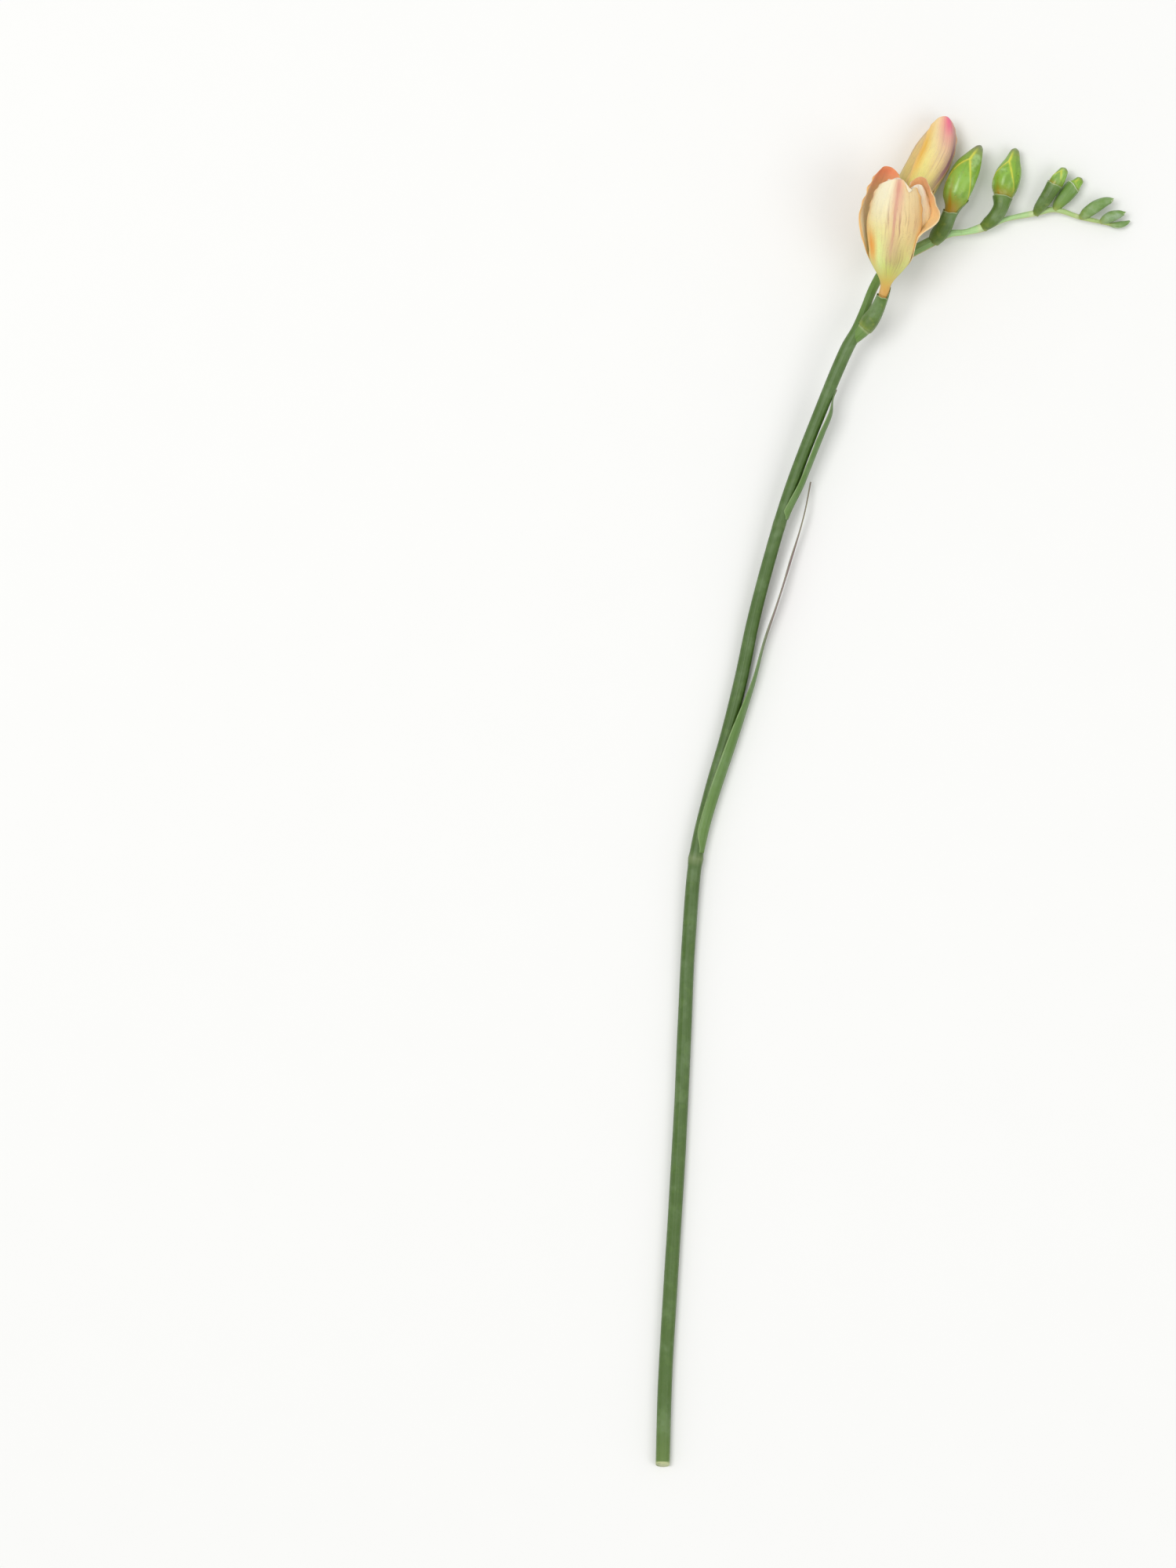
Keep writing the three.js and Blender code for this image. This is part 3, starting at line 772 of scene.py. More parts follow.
@dataclass(frozen=True)
class SkinFinish:
    """Waxy green plant skin with fine threads along it and pale bluish clouds of painted sheen on top.

    Its height attribute runs from 0 at the foot to 1 at the tip, and side from -1 to 1
    across. The rim attribute is 1 at a dry pale rim, and stain at a dry or warm patch.
    """

    name: str
    body: Stops
    # The painted sheen is a pale bluish tint laid in clouds, a painted highlight standing in for the
    # skin's soft reflections.
    painted_sheen: str = "8fb09a"
    painted_sheen_amount: float = 0.3
    thread: str = "4f7a35"
    thread_amount: float = 0.45
    thread_count: float = 22.0
    rim: str = "e3ebc8"
    rim_amount: float = 0.9
    stain: str = "b88a2e"
    stain_amount: float = 0.0
    blotches_and_sheen: Sequence[SkinCloud] = ()
    mottle_scale: float = 320.0
    painted_sheen_scale: float = 90.0
    roughness: float = 0.4
    depth: float = 0.1

    @cache
    def material(self) -> Material:
        """Builds the material, once.

        Returns:
            The material.
        """
        s = Shader(self.name)
        height, side = s.attribute("height"), s.attribute("side")
        thread_place = s.vector(s.times(side, self.thread_count), s.times(height, 2.0), 0.0)
        threads = s.noise(thread_place, 1.0, 4.0)
        mottle = s.noise(s.place(), self.mottle_scale, 4.0)
        clouds = s.noise(s.place(), self.painted_sheen_scale, 2.0)
        colour = s.ramp(height, self.body)
        colour = s.tint(colour, self.thread, s.rise(threads, 0.48, 0.7), self.thread_amount)
        # Painted sheen: pale bluish clouds at random places, standing in for soft reflections.
        painted_sheen = s.times(s.rise(clouds, 0.35, 0.7), s.rise(mottle, 0.25, 0.7))
        colour = s.tint(colour, self.painted_sheen, painted_sheen, self.painted_sheen_amount)
        # Each cloud tints the skin; the pale bluish ones are painted sheen, the others real blotches.
        for skin_cloud in self.blotches_and_sheen:
            noise = s.noise(s.place(), skin_cloud.scale, 3.0)
            cloud = s.rise(noise, skin_cloud.threshold, skin_cloud.threshold + 0.14)
            colour = s.tint(colour, skin_cloud.colour, cloud, skin_cloud.amount)
        if self.stain_amount:
            patch = s.times(s.attribute("stain"), s.math("ADD", 0.45, mottle))
            colour = s.tint(colour, self.stain, patch, self.stain_amount)
        if self.rim_amount:
            rim = s.times(s.attribute("rim"), s.rise(mottle, 0.15, 0.55))
            colour = s.tint(colour, self.rim, rim, self.rim_amount)
        relief = s.math("ADD", s.times(threads, 0.7), s.times(mottle, 0.3))
        roughness = s.math("ADD", self.roughness - 0.08, s.times(mottle, 0.2))
        material = s.finish(
            colour, roughness, relief, self.depth,
            Subsurface_Weight=0.12, Subsurface_Scale=0.0012, Specular_IOR_Level=0.45,
        )
        s.surface.inputs["Subsurface Radius"].default_value = (0.6, 1.0, 0.3)
        return material


FRONT_TEPAL = TepalFinish(
    name="cream tepal with a pink midrib",
    outside=((0.0, "d39e50"), (0.08, "deb35a"), (0.2, "ced66a"), (0.32, "dcea86"), (0.46, "f0e696"),
             (0.62, "fce3a8"), (0.82, "ffebc0"), (1.0, "ffdfb2")),
    inside=((0.0, "ecc870"), (0.5, "f8deaa"), (1.0, "fff2d4")),
    flushes=(
        Flush("ecc088", 0.7, 0.85, 0.1, 1.2, 0.8),
        Flush("eaf0a8", -0.5, 0.6, 0.08, 0.6, 0.6),
        Flush("f2ae5a", 1.0, 0.3, 0.3, 1.3, 0.9),
        Flush("f0a040", -0.78, 0.35, 0.16, 0.62, 1.0),
        Flush("b49a68", 0.25, 0.6, 0.12, 0.55, 0.55),
        Flush("d2a592", 0.0, 0.5, 0.2, 0.6, 0.45),
        Flush("fff4d2", -0.5, 0.6, 0.45, 1.4, 0.7),
        Flush("e98f80", 0.04, 0.3, 0.45, 1.4, 0.6),
    ),
    vein="8f6458",
    vein_amount=0.75,
    vein_side=0.15,
)
BACK_TEPAL = TepalFinish(
    name="cream tepal with an orange lining",
    outside=((0.0, "cf9c5a"), (0.08, "d9b166"), (0.2, "c8c070"), (0.36, "dcbd80"), (0.6, "efc08a"),
             (1.0, "f3c79c")),
    inside=((0.0, "fadc8c"), (0.35, "ffe2a4"), (0.6, "ffd8a2"), (0.8, "ffc896"), (1.0, "ffa880")),
    vein_amount=0.6,
    edge="fbd8a6",
    edge_amount=0.85,
)
# A copy of the back tepal whose lining is painted near white low down and less freckled: painted light
# that lifts the shade on its steep inner face. The salmon at its top is the tepal's own colour.
LEFT_TEPAL = replace(
    BACK_TEPAL,
    name="cream tepal with a lining painted lighter",
    inside=((0.0, "fff0c0"), (0.35, "fff4d2"), (0.6, "fff0d4"), (0.8, "ffd2ae"), (0.92, "ff9c76"),
            (1.0, "ff8a68")),
    grain_amount=0.4,
    lining_edge="f6b670",
)
INNER_TEPAL = TepalFinish(
    name="pale inner tepal",
    outside=((0.0, "d9b460"), (0.3, "e0cd78"), (0.6, "fff0c8"), (1.0, "fffae8")),
    inside=((0.0, "f6d488"), (0.6, "ffe6bc"), (1.0, "fff6e2")),
    midrib_amount=0.35,
    edge="fff0d4",
)
BLUSHED_TEPAL = TepalFinish(
    name="cream tepal with a rose tip",
    outside=((0.0, "b89c54"), (0.2, "b4b05c"), (0.38, "e2da82"), (0.56, "fde68e"), (0.76, "ffe4a8"),
             (1.0, "ffcea0")),
    inside=((0.0, "ecc870"), (0.5, "f4cc80"), (1.0, "fde4ba")),
    flushes=(
        Flush("eab4a4", 0.3, 0.9, 0.25, 1.5, 0.8),
        Flush("ff9696", 0.25, 0.9, 0.6, 1.2, 0.95),
        Flush("f0608e", 0.3, 0.42, 0.74, 1.1, 0.9),
        Flush("9c7078", 0.8, 0.6, 0.1, 1.1, 1.0),
        Flush("f2b850", -0.85, 0.45, 0.2, 1.0, 1.0),
    ),
    midrib="b0788a",
    midrib_amount=0.15,
    vein="8a5f6c",
    vein_amount=0.6,
    vein_side=0.62,
)
SIDE_TEPAL = TepalFinish(
    name="yellow tepal with a grey midrib",
    outside=((0.0, "b89654"), (0.2, "b2ac5e"), (0.4, "d0ba6e"), (0.65, "eec27a"), (1.0, "f8d29c")),
    inside=((0.0, "f0c070"), (0.5, "f6c478"), (1.0, "fadaa2")),
    midrib="8c776e",
    midrib_amount=0.8,
    vein="8c6f66",
    vein_amount=0.6,
    edge="f8ca88",
    edge_amount=0.85,
)
STEM_FINISH = SkinFinish(
    name="stem skin",
    # The very pale stops at 0.75 and 0.82 paint a highlight onto the stalk between bud 3 and bud 4,
    # over its lighter green; the stop at 0.6 is painted lighter to lift the shade that flower 1 casts
    # on the stalk beside its bracts.
    body=((0.0, "67823a"), (0.02, "476424"), (0.49, "3d5b1a"), (0.6, "6a8d3a"), (0.69, "769848"),
          (0.75, "c2eaa4"), (0.82, "c4f0a6"), (0.88, "bcd694"), (1.0, "b0c86c")),
    painted_sheen="8ba57a",
    painted_sheen_amount=0.16,
    thread="486a28",
    thread_count=20.0,
    stain="dba878",
    stain_amount=0.75,
    rim="d8dca6",
    rim_amount=0.8,
    # The pale grey-green clouds are painted sheen; the darker green ones are real blotches.
    blotches_and_sheen=(SkinCloud("8fa878", 120, 0.54, 0.15), SkinCloud("5b7a34", 260, 0.52, 0.35)),
    roughness=0.38,
)
LEAF_FINISH = SkinFinish(
    name="leaf skin",
    body=((0.0, "63843a"), (0.3, "5c8038"), (0.7, "5f8040"), (1.0, "6b8250")),
    painted_sheen="90a682",
    painted_sheen_amount=0.22,
    thread="41642a",
    thread_count=15.0,
    rim="a9c486",
    rim_amount=0.75,
    stain="8a7270",
    stain_amount=1.6,
    depth=0.16,
)
BRACT_FINISH = SkinFinish(
    name="bract skin",
    body=((0.0, "8c963c"), (0.07, "68802f"), (0.3, "5a762c"), (0.75, "56742c"), (1.0, "64863a")),
    painted_sheen="86a070",
    painted_sheen_amount=0.2,
    thread="4a6a28",
    thread_amount=0.3,
    rim="c3d2a0",
    rim_amount=0.75,
    blotches_and_sheen=(
        # The first, pale bluish clouds are painted sheen; the darker green and yellow-olive ones are
        # real blotches.
        SkinCloud("88a078", 130, 0.52, 0.25),
        SkinCloud("4c6626", 240, 0.5, 0.5),
        SkinCloud("8e9a40", 420, 0.56, 0.3),
    ),
    roughness=0.34,
)
YOUNG_BRACT_FINISH = SkinFinish(
    name="young bract skin",
    body=((0.0, "a8ae58"), (0.1, "86a048"), (0.4, "6f9442"), (0.8, "6c903f"), (1.0, "80a455")),
    painted_sheen="a8bf98",
    painted_sheen_amount=0.5,
    thread="557c32",
    thread_amount=0.35,
    # The pale bluish clouds are painted sheen; the darker green ones are real blotches.
    blotches_and_sheen=(SkinCloud("a8bea4", 150, 0.52, 0.45), SkinCloud("648a38", 300, 0.5, 0.5)),
    rim="dfe8cc",
    rim_amount=0.9,
    roughness=0.38,
)
BUD_FINISH = SkinFinish(
    name="bud skin",
    body=((0.0, "a9872c"), (0.34, "a09228"), (0.41, "969c30"), (0.47, "7fa034"), (0.6, "93bd46"),
          (0.75, "88b43e"), (0.88, "86aa3c"), (0.95, "8a9450"), (1.0, "66585a")),
    painted_sheen="a8d884",
    painted_sheen_amount=0.3,
    thread="5f862c",
    thread_amount=0.4,
    thread_count=7.0,
    rim="e2e04e",
    rim_amount=0.95,
    stain="a8801a",
    stain_amount=0.9,
    blotches_and_sheen=(
        # The first, pale bluish-white clouds are painted sheen; the green, yellow-brown and dark green
        # ones are real blotches and spots.
        SkinCloud("c6e8a8", 150, 0.54, 0.4),
        SkinCloud("6c9430", 170, 0.5, 0.6),
        SkinCloud("b9a53a", 380, 0.6, 0.5),
        SkinCloud("4f7426", 600, 0.64, 0.5),
    ),
    roughness=0.28,
)
STAMEN_FINISH = SkinFinish(
    name="stamen skin",
    body=((0.0, "e9dfae"), (0.7, "f2ecc8"), (1.0, "f6f0d4")),
    painted_sheen="fff8e0",
    thread="d8c888",
    rim_amount=0.0,
    roughness=0.6,
)


# ---------------------------------------------------------------------------
# Stem
# ---------------------------------------------------------------------------


@dataclass
class Stem:
    """The stem and the zigzag flower stalk that it turns into, down to the cut end.

    A station of the route is x, y, z and the radius there. Two joints swell the stem
    where the leaves grow, and the stalk has small dry joints at some places along X.
    """

    route: Sequence[tuple[float, float, float, float]] = (
        (0.0, -6.5, 2.6, 2.75), (1.0, 27.0, 2.6, 2.75), (3.1, 63.4, 2.6, 2.75),
        (5.2, 97.3, 2.6, 2.75), (7.1, 131.2, 2.6, 2.75), (8.6, 165.1, 2.6, 2.75),
        (10.2, 199.0, 2.9, 2.7), (13.2, 232.8, 3.9, 2.7), (18.5, 255.9, 3.9, 2.65),
        (25.2, 279.5, 3.9, 2.65), (31.0, 303.0, 4.1, 2.6), (35.4, 324.0, 4.9, 2.55),
        (41.3, 347.0, 6.4, 2.5), (49.9, 375.8, 9.0, 2.45), (61.0, 405.0, 11.8, 2.45),
        (71.8, 430.6, 14.2, 2.6), (75.9, 438.2, 14.6, 2.3), (78.8, 445.8, 13.8, 1.8),
        (82.7, 455.4, 12.2, 1.75), (87.2, 462.4, 10.6, 1.85), (95.8, 468.0, 9.0, 2.05),
        (104.7, 472.8, 7.9, 2.1), (112.0, 476.2, 6.4, 1.5), (118.9, 477.0, 6.0, 1.2),
        (125.7, 478.9, 5.6, 1.7), (134.0, 482.0, 4.0, 0.95), (146.0, 484.5, 4.4, 1.25),
        (153.7, 485.9, 4.1, 1.05), (163.9, 482.9, 3.9, 0.95), (171.9, 481.1, 3.6, 0.75),
        (175.4, 480.2, 3.2, 0.6),
    )
    climbs_until: float = 484.0
    cut_slant: float = 0.45
    node_swellings: tuple[float, float] = (0.35, 0.1)
    node_length: float = 1.6
    node_places: tuple[float, float] = (231.0, 362.0)
    stalk_start: float = 440.0
    stalk_joints: tuple[float, ...] = (124.2, 144.6, 162.6)
    joint_length: float = 0.9
    stain_faces: float = 84.0
    stain_width: float = 15.0
    stain_rise: float = 25.0
    ribs: int = 13
    rib_height: float = 0.035
    rib_twist: float = 0.12
    waviness: float = 0.008
    sides: int = 56
    rings_per_stretch: int = 22
    spine: Spine = field(init=False)
    radius_at: Profile = field(init=False)

    def __post_init__(self) -> None:
        """Works out the centre line and the radius along it."""
        self.spine = Spine([station[:3] for station in self.route])
        self.radius_at = Profile([(i, station[3]) for i, station in enumerate(self.route)])

    def distance_at_y(self, y: Array) -> Array:
        """The distance along the stem at which it has reached a given y."""
        climb = self.spine.points[:, 1] < self.climbs_until
        return np.interp(y, self.spine.points[climb, 1], self.spine.distances[climb])

    def swelling(self, y: Array) -> Array:
        """Extra radius at the two joints, a bell round each with a fine ring on it.

        Args:
            y: places along the stem.

        Returns:
            The extra radius at each.
        """
        joints = zip(self.node_places, self.node_swellings)
        return sum(
            amount * (bell(y - place, self.node_length) + 0.35 * bell(y - place - 1.4, 0.35))
            for place, amount in joints
        )

    def build(self) -> None:
        """Makes the stem: rings square to the line, ribbed, and flat where they meet the table."""
        stretches = len(self.route) - 1
        share = np.linspace(0, 1, stretches * self.rings_per_stretch + 1)[:, None]
        angle = turns(self.sides, 0.5)
        frames = self.spine.frames_by_share(share)
        y = frames.point[..., 1]
        twist = angle + self.rib_twist * y
        rib = self.rib_height * (cosd(self.ribs * twist) + 0.5 * cosd(5 * twist + 40))
        radius = self.radius_at(share * stretches) * (1 + self.waviness * sind(7.3 * y))
        radius = radius + self.swelling(y) + rib * smoothstep(share, 1.0, 0.8)
        points = frames.around(angle, radius)
        slant = frames.along * (radius * cosd(angle))[..., None] * self.cut_slant
        points[0] += slant[0]
        points[..., 2] = np.maximum(points[..., 2], 0)
        x = frames.point[..., 0]
        joints = sum(bell(x - joint, self.joint_length) for joint in self.stalk_joints)
        stalk = smoothstep(y, self.stalk_start, self.stalk_start + self.stain_rise)
        low_side = bell(wrap(angle - self.stain_faces), self.stain_width)
        fields = {
            "height": share,
            "side": sind(angle / 2) * 2 - 1,
            "stain": stalk * low_side,
            "rim": bell(y - self.route[0][1], 0.5) + 0.5 * self.swelling(y) + 0.7 * joints,
        }
        piece = tube_mesh("stem_skin", points, fields)
        dress(piece, "stem", STEM_FINISH.material())


# ---------------------------------------------------------------------------
# Leaves
# ---------------------------------------------------------------------------


@dataclass
class Leaf:
    """A leaf: a sheath round the stem that opens out into a narrow blade on edge.

    The keel's distance from the sheath, the roll and the half width are given against
    the share of the leaf's length, and dry is where the tip starts and ends to dry.
    """

    name: str
    node: str
    stem: Stem
    foot: float
    sheath_end: float
    blade: Points
    keel_off: Pairs
    roll: Pairs
    half_width: Pairs
    dry: tuple[float, float]
    sheath_station: float = 8.0
    sheath_points: int = 7
    thickness: float = 0.5
    clearance: float = 1.1
    snug_until: float = 0.3
    veins: int = 9
    vein_height: float = 0.035
    keel_height: float = 0.18
    wave_height: float = 0.25
    rows: int = 220
    columns: int = 33

    def build(self) -> None:
        """Makes the leaf.

        Each row is an arc of radius (sheath + roll) whose middle is on the keel; the
        keel runs beside the stem and then along the blade's own points.
        """
        sheath = float(self.stem.radius_at(np.array(self.sheath_station))) + self.clearance
        share = np.linspace(0, 1, self.sheath_points)
        distance = self.stem.distance_at_y(lerp(self.foot, self.sheath_end, share))
        keel = self.stem.spine.frames(distance).around(90.0, sheath + Profile(self.keel_off)(share))
        spine = Spine([*map(tuple, keel), *self.blade])
        q, v = grid(self.rows, self.columns)
        frames = spine.frames(q * spine.length)
        snug = (self.clearance - 0.15) * (1 - smoothstep(q, 0.0, self.snug_until))
        arc = sheath + Profile(self.roll)(q) - snug
        bend = v * Profile(self.half_width)(q) * (1 - 0.45 * smoothstep(q, 0.06, 0.0)) / arc
        inward = (snug + arc * (1 - np.cos(bend)))[..., None]
        down = (arc * np.sin(bend))[..., None]
        outer = frames.point - frames.across * inward - frames.above * down
        normal = normals_of(outer)
        relief = self.vein_height * np.cos(2 * np.pi * self.veins * v) * (1 - v**8)
        relief += self.keel_height * bell(v, 0.07) * smoothstep(q, 0.0, 0.3)
        relief += self.wave_height * np.sin(9 * np.pi * q + 1.0) * v**2 * smoothstep(q, 0.45, 0.8)
        outer = outer + normal * relief[..., None]
        depth = self.thickness * np.sqrt(np.clip(1 - v**6, 0, 1)) * lerp(1, 0.6, q)
        inner = outer - normal * depth[..., None]
        outer[..., 2] = np.maximum(outer[..., 2], 0.05)
        inner[..., 2] = np.maximum(inner[..., 2], 0.1)
        fields = {
            "height": q,
            "side": v,
            "rim": smoothstep(np.abs(v), 0.9, 1.0),
            "stain": smoothstep(q, *self.dry),
        }
        piece = shell_mesh(self.name, outer, inner, fields)
        dress(piece, self.node, LEAF_FINISH.material())


# ---------------------------------------------------------------------------
# Bracts
# ---------------------------------------------------------------------------


class BractSide(Enum):
    """Which of the two bracts at a flower's foot."""

    OUTER = "outer"
    INNER = "inner"


@dataclass(frozen=True)
class BractShape:
    """What differs from one pair of bracts to the next.

    They stand off the body by a clearance that falls from the foot to the rim. The
    tips, the rims' drops and their teeth are shares of the reach, and closing is how
    much of the radius is drawn in at the rim.
    """

    reach: float
    foot_radius: float
    clearance: tuple[float, float] = (0.85, 0.42)
    outer_tip: float = 0.08
    outer_drop: float = 0.0
    inner_tip: float = 0.035
    inner_drop: float = 0.02
    closing: float = 0.0
    teeth: float = 0.0
    start: float = -0.2
    finish: SkinFinish = BRACT_FINISH


@dataclass
class Bracts:
    """The pair of bracts that sheathe the foot of a flower or bud."""

    number: str
    spine: Spine
    body_radius: Callable[[Array], Array]
    shape: BractShape
    foot_length: float = 3.2
    outer_faces: float = -40.0
    half_angle: float = 100.0
    overlap: float = 0.3
    tuck: float = 14.0
    thickness: float = 0.35
    rim_width: float = 0.4
    ribs: int = 7
    rib_height: float = 0.02
    keel_height: float = 0.1
    unevenness: float = 0.006
    rows: int = 70
    columns: int = 49

    def sleeve(self, distance: Array) -> Array:
        """The bracts' outer radius: the foot's, growing to the body's with its clearance.

        Args:
            distance: distances along the spine.

        Returns:
            The radius at each.
        """
        shape = self.shape
        clearance = lerp(*shape.clearance, smoothstep(distance, 0.2 * shape.reach, shape.reach))
        grown = self.body_radius(distance) + clearance
        return lerp(shape.foot_radius, grown, np.sqrt(smoothstep(distance, -0.6, self.foot_length)))

    def build(self) -> None:
        """Makes both bracts."""
        for side in BractSide:
            self.build_one(side)

    def build_one(self, side: BractSide) -> None:
        """Makes one bract: a bent sheet round the spine, pointed at the top, closing in on the bud.

        Args:
            side: which of the two.
        """
        shape = self.shape
        q, v = grid(self.rows, self.columns)
        if side is BractSide.OUTER:
            angle = self.outer_faces + v * self.half_angle
            tip = shape.outer_tip * (1 - v**2) ** 2 - shape.outer_drop
            lift = self.overlap * smoothstep(q, 0.0, 0.2) * lerp(1.0, 0.4, np.abs(v) ** 6)
        else:
            angle = self.outer_faces + 180 + v * (180 - self.half_angle + self.tuck)
            tip = shape.inner_tip * (1 - v**2) - shape.inner_drop
            lift = 0.0
        jagged = np.abs(np.sin(4.5 * v + 1.0)) * shape.teeth
        jagged = jagged + self.unevenness * np.sin(11 * v + shape.reach)
        top = shape.reach * (1 + tip + jagged)
        distance = lerp(shape.start, top, q)
        drawn_in = 1 - shape.closing * smoothstep(q, 0.72, 1.0) ** 1.5
        rib = self.rib_height * np.cos(2 * np.pi * self.ribs * v) * smoothstep(q, 0.05, 0.3)
        keel = self.keel_height * bell(v, 0.12) * smoothstep(q, 0.05, 0.4)
        radius = (self.sleeve(distance) + lift + rib + keel) * drawn_in
        frames = self.spine.frames(distance)
        outer = frames.around(angle, radius)
        edge = np.sqrt(np.clip(1 - v**6, 0, 1)) * lerp(1, 0.3, smoothstep(q, 0.8, 1.0))
        inner = frames.around(angle, radius - self.thickness * edge)
        to_top = (1 - q) * top
        to_margin = (1 - np.abs(v)) * radius * np.radians(self.half_angle)
        rim = 1 - smoothstep(to_top, 0.3 * self.rim_width, self.rim_width)
        margin = (1 - smoothstep(to_margin, 0.08, 0.3)) * smoothstep(q, 0.3, 0.9)
        fields = {"height": q, "side": v, "rim": np.maximum(rim, 0.5 * margin)}
        piece = shell_mesh(f"bract_{self.number}_{side.value}", outer, inner, fields)
        dress(piece, f"bracts_{self.number}", shape.finish.material())


# ---------------------------------------------------------------------------
# Open flowers
# ---------------------------------------------------------------------------

HEIGHT_UNIT = 50.0  # the height attribute of a flower is its height over this
TEPAL_ROOT = -1.0
TEPAL_CROWDING = 1.3  # the power by which its rows crowd towards the tip
TEPAL_SHOULDER = 3.5  # how much lower a tepal's corners are than the middle of its tip
TEPAL_TAPER = 0.68
TEPAL_ROOT_WIDTH = 0.7  # as a share of its full width
TEPAL_TIP_START = 0.62  # as a share of its length
TEPAL_OPEN_SHARE = 0.72  # of its length, at which it has flared in full
EDGE_OPENING = 11.0  # the length over which its edges turn back
INNER_INSET = (0.45, 1.3)  # how far inside the outer tepals the inner ones lie, low and high
INSET_HEIGHTS = (12, 24)
ROLL_HEIGHTS = (12, 32)
WIDTH_HEIGHTS = (14, 31)
RIDGE_HEIGHTS = (10, 24)
THINNING_HEIGHTS = (15, 40)
FUNNEL_START = 2.0
FUNNEL_END = 17.0
TUBE_FOOT = 4.7
TUBE_TOP = 15.0  # over the bracts, as the floor is
TUBE_FLOOR = 5.0
TUBE_ROWS = (70, 30)  # up the outside and down the inside
TUBE_SIDES = 72
TUBE_INSETS = (0.1, 0.7)  # how far under the funnel's radius its outside and inside lie
TUBE_SEAM = 0.06
BRACTED_RADIUS = ((0, 1.4), (0.3, 1.9), (0.65, 1.85))  # against the share of the bracts' reach
STAMEN_FOOT = 6.3
SHOULDER_ROWS = 40
SHOULDER_SIDES = 48
SHOULDER_START = -4.5
SHOULDER_OVERLAP = 1.2
SHOULDER_RADIUS = ((0, 1.7), (0.4, 2.4), (0.75, 2.85), (0.88, 2.9), (1, 2.3))


@dataclass
class Tepal:
    """One of a flower's six tepals.

    It faces away from the spine at an angle, follows the funnel and then flares; its
    tip hooks back in, its sides bend round on a roll of its own, and a turn lets it
    stand askew. Open edges turn back outwards by a share of their bend. A curl rolls
    one corner of its tip outwards.
    """

    faces: float
    reach: float
    half_width: float
    flare: float
    hook: float
    roll: float
    turn: float
    wave: float
    finish: TepalFinish
    inner: bool = False
    opens_at: float = 13.0
    open_edges: float = 0.0
    curl: float = 0.0
    curl_side: float = 0.5


